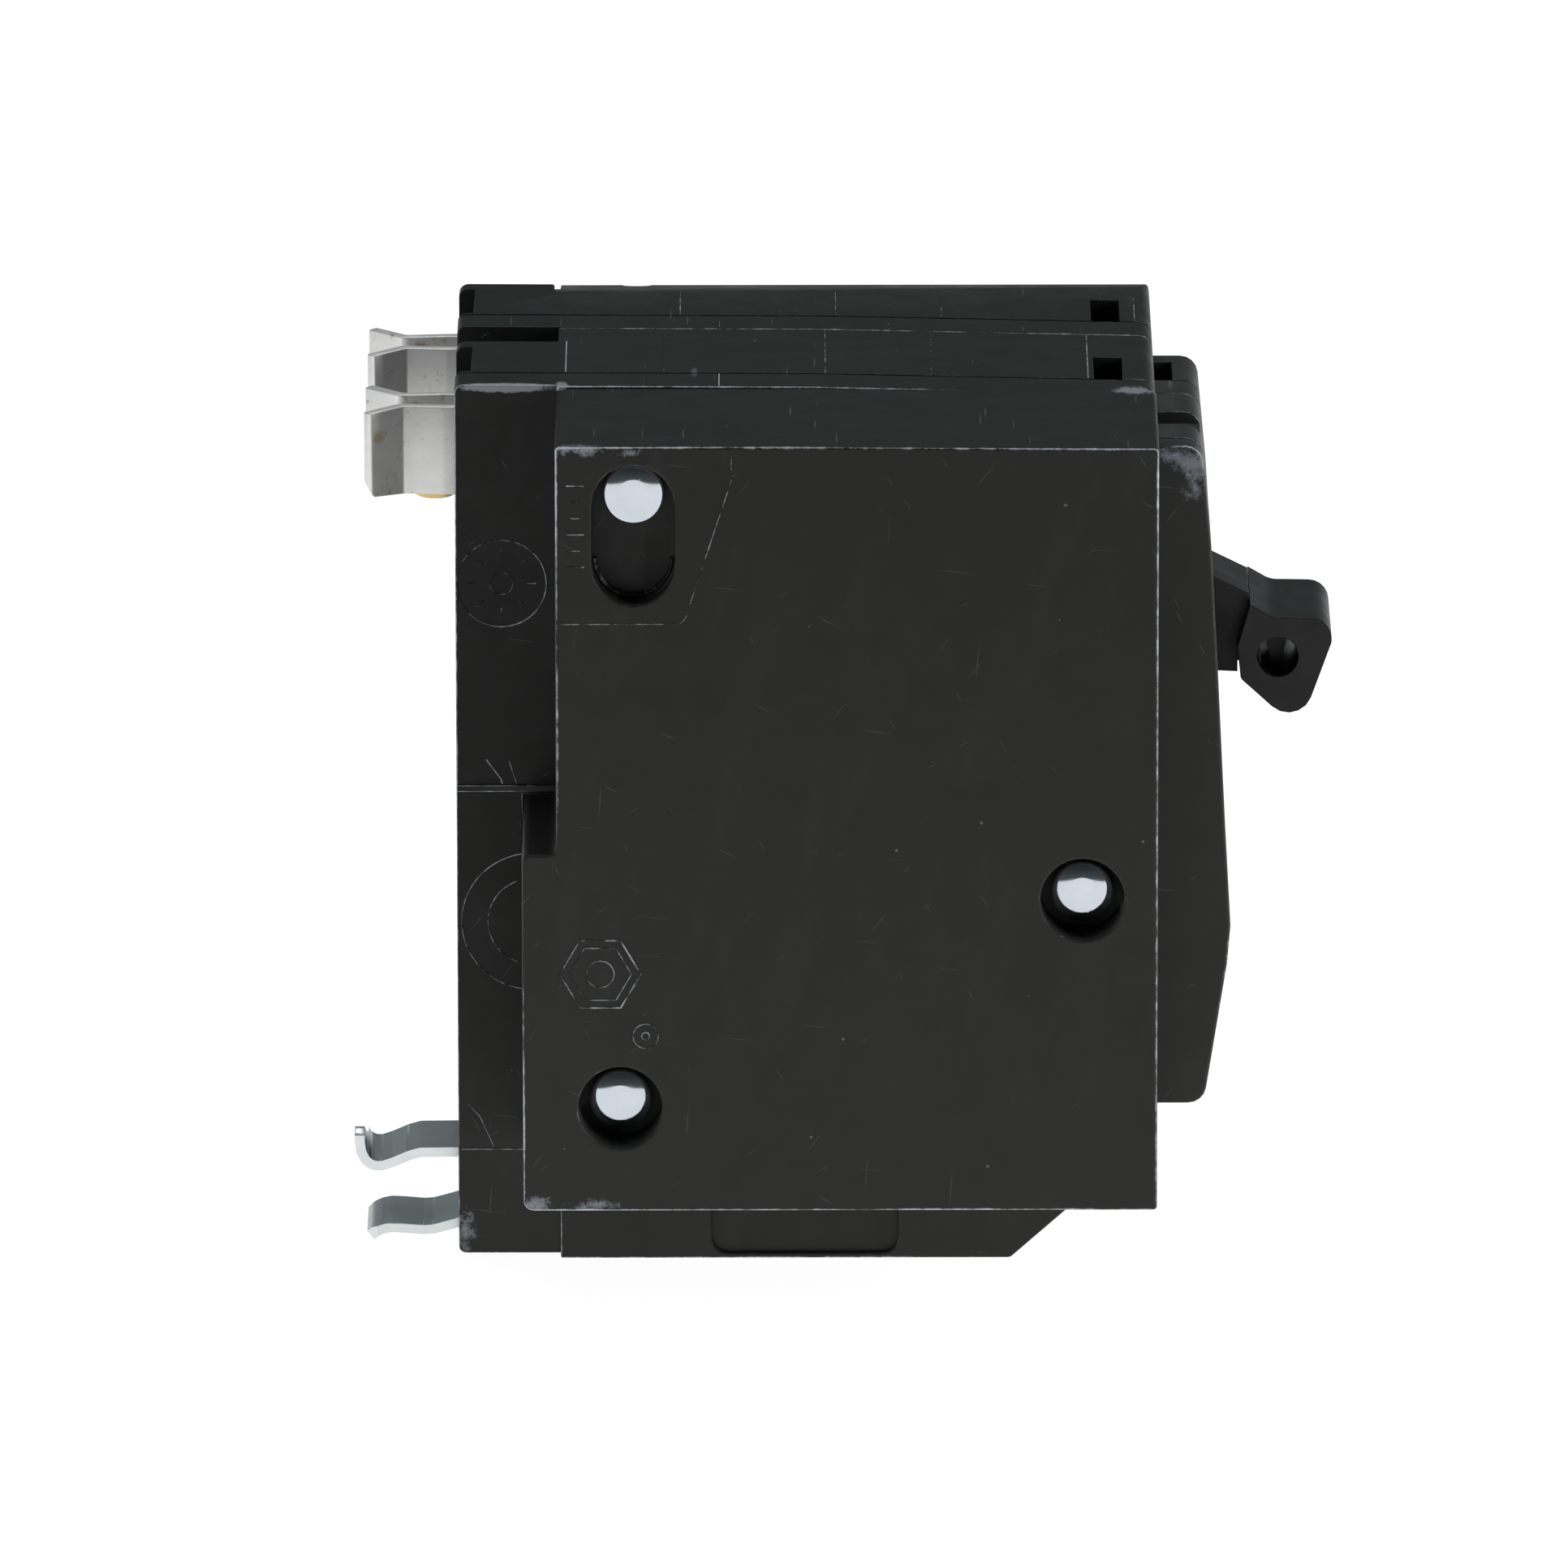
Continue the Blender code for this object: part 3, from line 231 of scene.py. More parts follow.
def case_plastic():
    """Black moulded plastic: faint mottling, dust, fine scratches, and pale wear along its edges, with
    painted light lower down and on the nose, and a painted shadow on the recessed strip.
    """
    made = Finish("case_plastic", 0.5, specular=0.22)
    tone = made.mix(made.noise(55, 5, 0.6), (0.0098, 0.0098, 0.0088), (0.0150, 0.0150, 0.0136))
    smear = made.span(made.noise(1.0, 4, 0.6, made.stretched((260, 260, 60), (0, 12, 0))), 0.52, 0.78)
    tone = made.mix(made.math("MULTIPLY", smear, 0.35), tone, (0.030, 0.031, 0.030))
    axes = made.node("ShaderNodeSeparateXYZ")
    made.feed(axes.inputs[0], made.where)
    # Painted light: lighter towards the bottom, standing in for light from the pale floor, and lighter on
    # the nose, which lies in the module's shade.
    low = made.span(axes.outputs["Z"], 0.078, 0.004, 0.0, 0.36)
    painted_nose_light = made.span(axes.outputs["X"], 0.0266, 0.0272, 0.0, 0.55)
    tone = made.mix(made.math("ADD", low, painted_nose_light), tone, (0.038, 0.038, 0.036))
    # Painted shadow: the recessed strip of the middle pole, left of the module, is darkened, more so higher
    # up, where the module shades it.
    back = made.span(axes.outputs["X"], -0.0240, -0.0248)
    strip = made.math("MULTIPLY", back, made.span(axes.outputs["Y"], -0.016, -0.012))
    strip = made.math("MULTIPLY", strip, made.span(axes.outputs["Z"], 0.012, 0.045, 0.0, 0.6))
    tone = made.mix(strip, tone, (0.0060, 0.0060, 0.0054))
    marks = made.math("MAXIMUM", made.spots(420, 0.06, 0.3), made.spots(150, 0.03, 0.35))
    for turn, stretch in SCRATCHES:
        streaks = made.spots(1.0, 0.115, 0.12, made.stretched(stretch, (0, turn, 0)))
        marks = made.math("MAXIMUM", marks, made.math("MULTIPLY", streaks, 0.8))
    tone = made.mix(made.math("MULTIPLY", marks, 0.58), tone, (0.26, 0.28, 0.31))
    edge = made.attribute("edge_wear")
    worn = made.math("ADD", edge, made.span(made.noise(900, 6, 0.7), 0.25, 0.75, -0.55, 0.35))
    worn = made.span(made.math("ADD", worn, made.span(made.noise(70, 3), 0.3, 0.7, -0.22, 0.2)), 0.25, 0.8)
    worn = made.math("MULTIPLY", worn, made.span(edge, 0.05, 0.3))
    rubbed = None
    for spot, reach, core, strength in SCUFFS:
        patch = made.math("MULTIPLY", made.near(spot, reach, core), strength)
        rubbed = patch if rubbed is None else made.math("MAXIMUM", rubbed, patch)
    cloud = made.span(made.noise(1100, 9, 0.8), 0.28, 0.72, -0.8, 0.55)
    cloud = made.span(made.math("ADD", rubbed, cloud), 0.12, 0.7, 0.0, 0.8)
    rubbed = made.math("MULTIPLY", cloud, made.span(rubbed, 0.0, 0.2))
    tone = made.mix(rubbed, tone, (0.30, 0.32, 0.36))
    tone = made.mix(worn, tone, (0.50, 0.54, 0.60))
    made.colour(tone)
    haze = made.span(made.noise(240, 5, 0.65), 0.3, 0.7, 0.44, 0.60)
    made.roughness(made.math("ADD", haze, made.math("MULTIPLY", marks, 0.2)))
    made.bump(
        (made.noise(5200, 3, 0.6), 0.006), (made.noise(420, 2), 0.02),
        (made.math("MULTIPLY", marks, -1.0), 0.01),
    )
    return made.material


def handle_plastic():
    """Satin black plastic of the handle, smoother than the case and a little greyer where fingers rub it."""
    made = Finish("handle_plastic", 0.42, specular=0.25)
    tone = made.mix(made.noise(120, 5, 0.6), (0.0100, 0.0098, 0.0092), (0.0155, 0.0152, 0.0146))
    dust = made.spots(520, 0.06, 0.2)
    tone = made.mix(made.math("MULTIPLY", dust, 0.3), tone, (0.2, 0.21, 0.23))
    patchy = made.span(made.noise(700, 6, 0.7), 0.3, 0.7, -0.8, 0.0)
    worn = made.math("ADD", made.attribute("edge_wear"), patchy)
    worn = made.math("MULTIPLY", made.span(worn, 0.2, 1.0), 0.35)
    made.colour(made.mix(worn, tone, (0.16, 0.17, 0.19)))
    made.roughness(made.span(made.noise(300, 5, 0.6), 0.3, 0.7, 0.36, 0.52))
    made.bump((made.noise(4200, 3, 0.6), 0.006), (made.noise(600, 2), 0.015))
    return made.material


def inner_plastic():
    made = Finish("inner_plastic", 0.55, specular=0.25)
    made.colour(made.mix(made.noise(200, 4), (0.010, 0.010, 0.0095), (0.017, 0.017, 0.016)))
    made.roughness(made.span(made.noise(350, 4), 0.3, 0.7, 0.5, 0.65))
    made.bump((made.noise(3600, 3), 0.008))
    return made.material


def bobbin_nylon():
    made = Finish("bobbin_nylon", 0.45, specular=0.4)
    made.colour(made.mix(made.noise(180, 4), (0.66, 0.63, 0.53), (0.76, 0.74, 0.66)))
    made.roughness(made.span(made.noise(500, 3), 0.3, 0.7, 0.38, 0.52))
    made.bump((made.noise(2800, 3), 0.006))
    return made.material


PLATING_LIGHT = (0.62, 0.66, 0.72)
PLATING_DARK = (0.50, 0.54, 0.59)


def bright_plating(name, low, high, share=1.0):
    """Bright zinc plating: nearly a mirror, with a faint haze and hairlines. The share darkens it."""
    made = Finish(name, low, metallic=1.0)
    light, dark = [tuple(value * share for value in tone) for tone in (PLATING_LIGHT, PLATING_DARK)]
    made.colour(made.mix(made.noise(500, 4, 0.6), dark, light))
    hair = made.spots(1.0, 0.2, 0.35, made.stretched((5200, 900, 900), (20, 35, 10)))
    haze = made.span(made.noise(1400, 6, 0.7), 0.35, 0.75, low, high)
    made.roughness(made.math("ADD", haze, made.math("MULTIPLY", hair, 0.18)))
    made.bump((made.noise(900, 4, 0.6), 0.006), (hair, 0.004))
    return made.material


# Stains of the jaws: middle, reach along x, y and z, strength, colour
STAINS = (
    ((-6.7, -5.9, 73.6), (0.9, 0.9, 1.0), 0.7, (0.56, 0.44, 0.14)),
    ((-3.4, -0.3, 74.9), (1.6, 0.8, 0.9), 0.9, (0.36, 0.26, 0.13)),
    ((-3.6, 18.75, 74.9), (1.6, 0.8, 0.9), 0.9, (0.36, 0.26, 0.13)),
)


def tinned_copper():
    """Tin plating over copper: dull and finely speckled, with a few yellow and brown stains."""
    made = Finish("tinned_copper", 0.5, metallic=0.55)
    streak = made.noise(1.0, 4, 0.6, made.stretched((90, 400, 1500)))
    tone = made.mix(made.span(streak, 0.3, 0.7), (0.76, 0.755, 0.745), (0.81, 0.805, 0.795))
    tone = made.mix(made.spots(1300, 0.2, 0.5), tone, (0.60, 0.59, 0.57))
    for spot, reach, amount, stain in STAINS:
        cloud = made.span(made.noise(900, 6, 0.7), 0.3, 0.7, -0.4, 0.4)
        patch = made.span(made.math("ADD", made.near(spot, reach), cloud), 0.2, 0.7)
        tone = made.mix(made.math("MULTIPLY", patch, amount), tone, stain)
    made.colour(tone)
    made.roughness(made.span(made.noise(700, 5, 0.65), 0.3, 0.7, 0.42, 0.54))
    made.bump((made.noise(1500, 4), 0.005))
    return made.material


def zinc_steel():
    """Zinc-plated spring and stamped steel: smooth satin, slightly green-grey."""
    made = Finish("zinc_steel", 0.3, metallic=1.0)
    tone = made.mix(made.noise(300, 5, 0.6), (0.68, 0.72, 0.725), (0.73, 0.77, 0.775))
    tone = made.mix(made.spots(900, 0.1, 0.2), tone, (0.64, 0.67, 0.67))
    made.colour(tone)
    made.roughness(made.span(made.noise(900, 4, 0.6), 0.3, 0.7, 0.30, 0.38))
    made.bump((made.noise(1300, 3), 0.0015))
    return made.material


def plain_metal(name, light, dark, low, high, grain=(400, 1800, 400)):
    """A bare or plated metal with drawn grain and slow tarnish."""
    made = Finish(name, low, metallic=1.0)
    streak = made.noise(1.0, 4, 0.6, made.stretched(grain))
    tone = made.mix(made.span(made.noise(260, 5, 0.65), 0.35, 0.7), light, dark)
    made.colour(made.mix(made.math("MULTIPLY", made.span(streak, 0.4, 0.7), 0.25), tone, dark))
    made.roughness(made.span(made.noise(800, 5, 0.6), 0.3, 0.7, low, high))
    made.bump((streak, 0.006))
    return made.material


FINISHES = {
    "case_plastic": case_plastic(),
    "handle_plastic": handle_plastic(),
    "inner_plastic": inner_plastic(),
    "bobbin_nylon": bobbin_nylon(),
    "bright_rivet_plating": bright_plating("bright_rivet_plating", 0.05, 0.13),
    "zinc_steel": zinc_steel(),
    "tinned_copper": tinned_copper(),
    "copper": plain_metal("copper", (0.74, 0.39, 0.25), (0.45, 0.22, 0.13), 0.28, 0.45),
    "silver_contact": plain_metal("silver_contact", (0.82, 0.81, 0.78), (0.58, 0.55, 0.50), 0.22, 0.40),
    "bimetal": plain_metal("bimetal", (0.58, 0.53, 0.47), (0.40, 0.36, 0.31), 0.30, 0.46),
    "brass": plain_metal("brass", (0.74, 0.55, 0.26), (0.50, 0.34, 0.14), 0.25, 0.42),
}
SHEARED_EDGE = plain_metal(
    "sheared_edge", (0.34, 0.36, 0.40), (0.27, 0.29, 0.32), 0.36, 0.48, (500, 900, 500),
)
RIVET_DISC = bright_plating("rivet_disc_plating", 0.30, 0.42, 0.78)


# Shapes


def add(name, mesh_data, slot, body, smooth=40, extra=()):
    """A piece from a bmesh: closed, facing out, in the finish of its slot, riding on its body."""
    bmesh.ops.recalc_face_normals(mesh_data, faces=mesh_data.faces)
    mesh = bpy.data.meshes.new(name)
    mesh_data.to_mesh(mesh)
    mesh_data.free()
    return finish(name, mesh, slot, body, smooth, extra)


def finish(name, mesh, slot, body, smooth=40, extra=()):
    piece = bpy.data.objects.new(name, mesh)
    bpy.context.scene.collection.objects.link(piece)
    mesh.materials.clear()
    for material in (FINISHES[slot], *extra):
        mesh.materials.append(material)
    mesh.shade_smooth()
    mesh.set_sharp_from_angle(angle=math.radians(smooth))
    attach(piece, body)
    return piece


def stand_for(piece, node):
    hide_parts(node)
    return piece


def body_of(node):
    return frame["nodes"][node]["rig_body"]


# Worn edges of the case: the two ends of a line, how far the wear reaches from it, and its strength
WORN_EDGES = (
    ((0, -9.4, 79), (9, -9.4, 79), 2.0, 1.0),
    ((8.9, -28.6, 79), (14, -28.6, 79), 1.6, 1.0),
    ((14, -28.6, 79), (60.7, -28.6, 78.8), 1.2, 0.52),
    ((60.7, -28.6, 10.5), (60.7, -28.6, 78.8), 1.2, 0.66),
    ((58, -9.5, 78.4), (60.7, -9.5, 78), 2.5, 0.9),
    ((60.7, -28.6, 78.4), (60.7, -9.5, 78.4), 1.5, 0.85),
    ((5.9, -28.6, 10.6), (9.5, -28.6, 10.6), 1.8, 0.95),
    ((9.5, -28.6, 10.4), (60.7, -28.6, 10.4), 1.2, 0.42),
    ((5.9, -28.6, 12), (5.9, -28.6, 42), 1.2, 0.30),
    ((0, -9, 0), (0, -9, 60), 1.6, 0.66),
    ((8.9, -9.4, 0), (8.9, -9.4, 10), 1.6, 0.95),
    ((9, -9.5, 79.1), (60, -9.5, 78.4), 1.3, 0.66),
    ((0, -5.1, 79.2), (60, -5.1, 78.4), 0.8, 0.55),
    ((0, 14, 79.2), (60, 14, 78.4), 0.8, 0.5),
    ((9, 9.5, 79.2), (60, 9.5, 78.4), 0.8, 0.62),
    ((9, 21.9, 79.1), (60, 21.9, 78.4), 0.8, 0.6),
    ((64.8, -7.5, 73), (60.7, -7.5, 73.2), 1.5, 0.8),
    ((67.0, -7.5, 26), (67.4, -7.5, 34), 2.5, 0.5),
    ((0, -9.1, 42.8), (8.9, -9.1, 42.8), 1.0, 0.85),
    ((64, -8, 73), (64, 22, 73), 2.0, 0.6),
)
UNWORN = 0.18


def wear_at(point):
    """How worn an edge is at a point, from 0 to 1."""
    worn = UNWORN
    for start, end, reach, strength in WORN_EDGES:
        first, last = place(*start), place(*end)
        along = last - first
        share = min(max((point - first).dot(along) / along.length_squared, 0.0), 1.0)
        away = (point - first - along * share).length / (reach * MM)
        if away < 1.0:
            worn = max(worn, UNWORN + (strength - UNWORN) * min(1.0, 2.0 * (1.0 - away)))
    return worn


def room_beside(edge):
    """The shortest edge that leaves either end of an edge at an angle."""
    room = 1.0
    for vert in edge.verts:
        along = (edge.other_vert(vert).co - vert.co).normalized()
        for other in vert.link_edges:
            if other == edge:
                continue
            leads = (other.other_vert(vert).co - vert.co).normalized()
            if abs(along.dot(leads)) < 0.85:
                room = min(room, other.calc_length())
    return room


def narrow_places(edges, width, rooms):
    """Lowers the room of edges that face each other across a narrow part of one plane."""
    planes = {}
    for edge in edges:
        for loop in edge.link_loops:
            start, end = loop.vert.co, loop.link_loop_next.vert.co
            normal = loop.face.normal
            key = tuple(round(value, 2) for value in normal) + (round(normal.dot(start) / MM / 0.02),)
            inward = normal.cross((end - start).normalized())
            planes.setdefault(key, []).append((edge, start, end, inward))
    for group in planes.values():
        for index, (edge, start, end, inward) in enumerate(group):
            for other, other_start, other_end, other_inward in group[:index]:
                if inward.dot(other_inward) > -0.2 or set(edge.verts) & set(other.verts):
                    continue
                reach = (end - start).length + (other_end - other_start).length
                if (start - other_start).length > reach + 2.5 * width:
                    continue
                gap = nearest(start, end, other_start, other_end)
                if gap.dot(inward) > 0 and gap.dot(other_inward) < 0:
                    rooms[edge] = min(rooms[edge], gap.length)
                    rooms[other] = min(rooms[other], gap.length)


def nearest(start, end, other_start, other_end):
    """The shortest step from one edge to another that doesn't cross it."""
    best = None
    for point, first, last, sign in (
        (start, other_start, other_end, 1), (end, other_start, other_end, 1),
        (other_start, start, end, -1), (other_end, start, end, -1),
    ):
        along = last - first
        share = min(max((point - first).dot(along) / max(along.length_squared, 1e-15), 0.0), 1.0)
        step = (first + along * share - point) * sign
        if best is None or step.length < best.length:
            best = step
    return best


ROOM_SHARE = 0.42
IN_LINE = 0.8
EVENING_PASSES = 12


def rounding_weights(mesh_data, width, sharp, small=()):
    """How much of the width each outer edge can take.

    Small holds (x, z, reach, share): places of the side view where edges take no more than a share.
    Edges that run on in line take the same, and others that meet differ by a limited factor.
    """
    edges = [
        edge for edge in mesh_data.edges
        if edge.is_manifold and edge.is_convex and edge.calc_face_angle() > math.radians(sharp)
    ]
    rooms = {edge: room_beside(edge) for edge in edges}
    narrow_places(edges, width, rooms)
    shares = {edge: min(1.0, rooms[edge] * ROOM_SHARE / width) for edge in edges}
    for x, z, reach, share in small:
        middle = place(x, 0, z)
        for edge in edges:
            away = max((Vector((vert.co.x, 0, vert.co.z)) - middle).length for vert in edge.verts)
            if away < reach * MM:
                shares[edge] = min(shares[edge], share)
    pairs = []
    for edge in edges:
        for vert in edge.verts:
            along = (edge.other_vert(vert).co - vert.co).normalized()
            for other in vert.link_edges:
                if other in shares and other != edge:
                    leads = (other.other_vert(vert).co - vert.co).normalized()
                    pairs.append((edge, other, 1.0 if abs(along.dot(leads)) > IN_LINE else 1.6))
    for _ in range(EVENING_PASSES):
        for edge, other, limit in pairs:
            shares[edge] = min(shares[edge], limit * shares[other])
    return shares


def refine(node, width, segments=2, sharp=28.0, worn=False, small=(), nudges=()):
    """A finer copy of a CAD node, with its outer edges rounded, that stands for the node.

    Nudges hold (x, z, reach, step): points of the side view that move a little along x.
    """
    mesh_data = bmesh.new()
    mesh_data.from_mesh(frame["nodes"][node].data)
    for x, z, reach, step in nudges:
        middle = place(x, 0, z)
        for vert in mesh_data.verts:
            if (Vector((vert.co.x, 0, vert.co.z)) - middle).length < reach * MM:
                vert.co.x += step * MM
    final = softened(mesh_data, width, segments, sharp, small)
    if worn:
        mark_wear(final)
    final.polygons.foreach_set("material_index", [0] * len(final.polygons))
    piece = stand_for(finish(node + "_fine", final, SLOTS[node], body_of(node), 50), node)
    even_normals(piece)
    return piece


def even_normals(piece):
    normals = piece.modifiers.new("even_normals", "WEIGHTED_NORMAL")
    normals.keep_sharp = True


def softened(mesh_data, width, segments, sharp, small=()):
    """A mesh from a bmesh with its outer edges rounded. The rounded strips take material 1."""
    bmesh.ops.remove_doubles(mesh_data, verts=mesh_data.verts, dist=0.02 * MM)
    bmesh.ops.dissolve_degenerate(mesh_data, edges=mesh_data.edges, dist=0.005 * MM)
    bmesh.ops.dissolve_limit(
        mesh_data, angle_limit=math.radians(0.3), verts=mesh_data.verts, edges=mesh_data.edges,
    )
    weights = mesh_data.edges.layers.float.new("bevel_weight_edge")
    for edge, share in rounding_weights(mesh_data, width * MM, sharp, small).items():
        edge[weights] = share
    mesh = bpy.data.meshes.new("draft")
    mesh_data.to_mesh(mesh)
    mesh_data.free()
    mesh.materials.clear()
    for _ in range(2):
        mesh.materials.append(None)
    mesh.polygons.foreach_set("material_index", [0] * len(mesh.polygons))
    draft = bpy.data.objects.new("draft", mesh)
    bpy.context.scene.collection.objects.link(draft)
    bevel = draft.modifiers.new("rounding", "BEVEL")
    bevel.width = width * MM
    bevel.segments = segments
    bevel.limit_method = "WEIGHT"
    bevel.use_clamp_overlap = False
    bevel.loop_slide = False
    bevel.material = 1
    final = bpy.data.meshes.new_from_object(draft.evaluated_get(bpy.context.evaluated_depsgraph_get()))
    bpy.data.objects.remove(draft)
    return final


def mark_wear(mesh):
    """Writes how worn each point of the rounded edges is. Points on the flat faces get none."""
    values = [1.0] * len(mesh.vertices)
    for face in mesh.polygons:
        if face.material_index == 0:
            for index in face.vertices:
                values[index] = 0.0
    for vertex in mesh.vertices:
        if values[vertex.index]:
            values[vertex.index] = wear_at(vertex.co)
    layer = mesh.attributes.new("edge_wear", "FLOAT", "POINT")
    layer.data.foreach_set("value", values)


def arc(centre, radius, start, end, steps):
    """Points (u, v) on an arc between two angles in degrees."""
    points = []
    for step in range(steps + 1):
        turn = math.radians(start + (end - start) * step / steps)
        points.append((centre[0] + radius * math.cos(turn), centre[1] + radius * math.sin(turn)))
    return points


def filleted(path, radius, steps=6):
    """An open path with its inner corners rounded."""
    points = [tuple(path[0])]
    for before, here, after in zip(path, path[1:], path[2:]):
        corner = Vector(here)
        back = Vector(before) - corner
        ahead = Vector(after) - corner
        half = back.angle(ahead) / 2
        reach = min(radius / math.tan(half), back.length * 0.48, ahead.length * 0.48)
        first = corner + back.normalized() * reach
        last = corner + ahead.normalized() * reach
        for step in range(steps + 1):
            share = step / steps
            point = first * (1 - share) ** 2 + corner * 2 * share * (1 - share) + last * share ** 2
            points.append(tuple(point))
    points.append(tuple(path[-1]))
    return points


def strip_outline(path, thickness):
    """The closed outline of a bent strip of even thickness that follows an open path."""
    runs = [(Vector(end) - Vector(start)).normalized() for start, end in zip(path, path[1:])]
    sides = ([], [])
    for index, point in enumerate(path):
        here = Vector(point)
        ahead = runs[min(index, len(runs) - 1)]
        behind = runs[max(index - 1, 0)]
        normal_ahead = Vector((-ahead.y, ahead.x))
        normal_behind = Vector((-behind.y, behind.x))
        mitre = (normal_ahead + normal_behind) / (1 + normal_ahead.dot(normal_behind))
        sides[0].append(here + mitre * thickness / 2)
        sides[1].append(here - mitre * thickness / 2)
    return sides[1] + sides[0][::-1]


def prism(outline, low, high, axis):
    """A bmesh of constant outline: in XY for axis Z, in XZ for axis Y, in YZ for axis X."""
    corner, along = {
        "X": (lambda u, v: place(low, u, v), Vector((1, 0, 0))),
        "Y": (lambda u, v: place(u, low, v), Vector((0, 1, 0))),
        "Z": (lambda u, v: place(u, v, low), Vector((0, 0, 1))),
    }[axis]
    mesh_data = bmesh.new()
    face = mesh_data.faces.new([mesh_data.verts.new(corner(u, v)) for u, v in outline])
    grown = bmesh.ops.extrude_face_region(mesh_data, geom=[face])["geom"]
    moved = [item for item in grown if isinstance(item, bmesh.types.BMVert)]
    bmesh.ops.translate(mesh_data, verts=moved, vec=along * (high - low) * MM)
    return mesh_data


def round_rims(mesh_data, width, segments=2, sharp=50):
    """Rounds the edges of a bmesh that are sharper than an angle."""
    bmesh.ops.recalc_face_normals(mesh_data, faces=mesh_data.faces)
    edges = [edge for edge in mesh_data.edges if edge.calc_face_angle() > math.radians(sharp)]
    bmesh.ops.bevel(
        mesh_data, geom=edges, offset=width * MM, offset_type="OFFSET", segments=segments,
        profile=0.5, affect="EDGES", clamp_overlap=False,
    )


def turned(name, profile, centre, slot, body, axis="Y", sides=96, smooth=40, inlay=None):
    """A solid of revolution. The profile holds (radius, distance along the axis).

    An inlay is the finish of its first face.
    """
    spots = {
        "Y": lambda radius, along, turn: place(
            centre[0] + radius * math.cos(turn), along, centre[1] + radius * math.sin(turn)),
        "Z": lambda radius, along, turn: place(
            centre[0] + radius * math.cos(turn), centre[1] + radius * math.sin(turn), along),
        "X": lambda radius, along, turn: place(
            along, centre[0] + radius * math.cos(turn), centre[1] + radius * math.sin(turn)),
    }
    closed = profile[0][0] > 0
    mesh_data = bmesh.new()
    rings = []
    for radius, along in profile:
        if radius == 0:
            rings.append([mesh_data.verts.new(spots[axis](0, along, 0))])
        else:
            turns = [math.tau * side / sides for side in range(sides)]
            rings.append([mesh_data.verts.new(spots[axis](radius, along, turn)) for turn in turns])
    pairs = list(zip(rings, rings[1:])) + ([(rings[-1], rings[0])] if closed else [])
    for ring, following in pairs:
        for side in range(sides):
            ahead = (side + 1) % sides
            corners = [ring[side % len(ring)], ring[ahead % len(ring)],
                       following[ahead % len(following)], following[side % len(following)]]
            face = mesh_data.faces.new(list(dict.fromkeys(corners)))
            face.material_index = 1 if inlay and ring is rings[0] else 0
    piece = add(name, mesh_data, slot, body, smooth, (inlay,) if inlay else ())
    for face in piece.data.polygons:
        face.use_smooth = face.material_index == 0
    return piece


def wire(name, points, radius, slot, body, resolution=3, smooth=60, strands=()):
    """A round wire along points given in millimetres, with closed ends. More strands join the same piece."""
    curve = bpy.data.curves.new(name, "CURVE")
    curve.dimensions = "3D"
    curve.bevel_depth = radius * MM
    curve.bevel_resolution = resolution
    curve.use_fill_caps = True
    for route in (points, *strands):
        spline = curve.splines.new("POLY")
        spline.points.add(len(route) - 1)
        for target, point in zip(spline.points, route):
            target.co = (*place(*point), 1.0)
    draft = bpy.data.objects.new("draft", curve)
    bpy.context.scene.collection.objects.link(draft)
    mesh = bpy.data.meshes.new_from_object(draft.evaluated_get(bpy.context.evaluated_depsgraph_get()))
    bpy.data.objects.remove(draft)
    return finish(name, mesh, slot, body, smooth)


def helix(centre, radius, low, high, turns, steps=28):
    """Points of a spring that stands along Z."""
    count = turns * steps
    return [
        (
            centre[0] + radius * math.cos(math.tau * step / steps),
            centre[1] + radius * math.sin(math.tau * step / steps),
            low + (high - low) * step / count,
        )
        for step in range(count + 1)
    ]


def ridge(mesh_data, points, up, width, height, closed=False, sink=0.03):
    """Adds a low raised line along points, on a face that looks along up."""
    rings = []
    count = len(points)
    up = Vector(up)
    for index in range(count):
        here = place(*points[index])
        ahead = place(*points[(index + 1) % count]) if closed or index < count - 1 else here
        behind = place(*points[index - 1]) if closed or index > 0 else here
        run_ahead = (ahead - here).normalized()
        run_behind = (here - behind).normalized()
        run = (run_ahead + run_behind).normalized()
        side = run.cross(up)
        widen = 1.0
        if run_ahead.length > 0.5 and run_behind.length > 0.5:
            widen = 1.0 / max(0.5, run.dot(run_ahead))
        across = side * width / 2 * widen * MM
        foot = here - up * sink * MM
        crown = here + up * height * MM
        corners = (foot - across, crown - across * 0.45, crown + across * 0.45, foot + across)
        rings.append([mesh_data.verts.new(corner) for corner in corners])
    last = count if closed else count - 1
    for index in range(last):
        ring, following = rings[index], rings[(index + 1) % count]
        for corner in range(4):
            beyond = (corner + 1) % 4
            mesh_data.faces.new((ring[corner], ring[beyond], following[beyond], following[corner]))
    if not closed:
        mesh_data.faces.new(rings[0])
        mesh_data.faces.new(rings[-1][::-1])


def marks(name, lines, up):
    """One piece of raised lines on the case, each given as (points, width, height, closed, wear)."""
    mesh_data = bmesh.new()
    values = []
    for points, width, height, closed, wear in lines:
        ridge(mesh_data, points, up, width, height, closed)
        values += [wear] * (len(mesh_data.verts) - len(values))
    bmesh.ops.recalc_face_normals(mesh_data, faces=mesh_data.faces)
    piece = add(name, mesh_data, "case_plastic", "root", 30)
    layer = piece.data.attributes.new("edge_wear", "FLOAT", "POINT")
    layer.data.foreach_set("value", values)


# Case shells and their moulding marks

SHELL_ROUNDING = 0.28
for shell in ("pole_a_base", "pole_a_cover", "pole_b_base", "pole_b_cover", "accessory_housing"):
    refine(shell, SHELL_ROUNDING, worn=True)
refine("accessory_back_plate", 0.2)


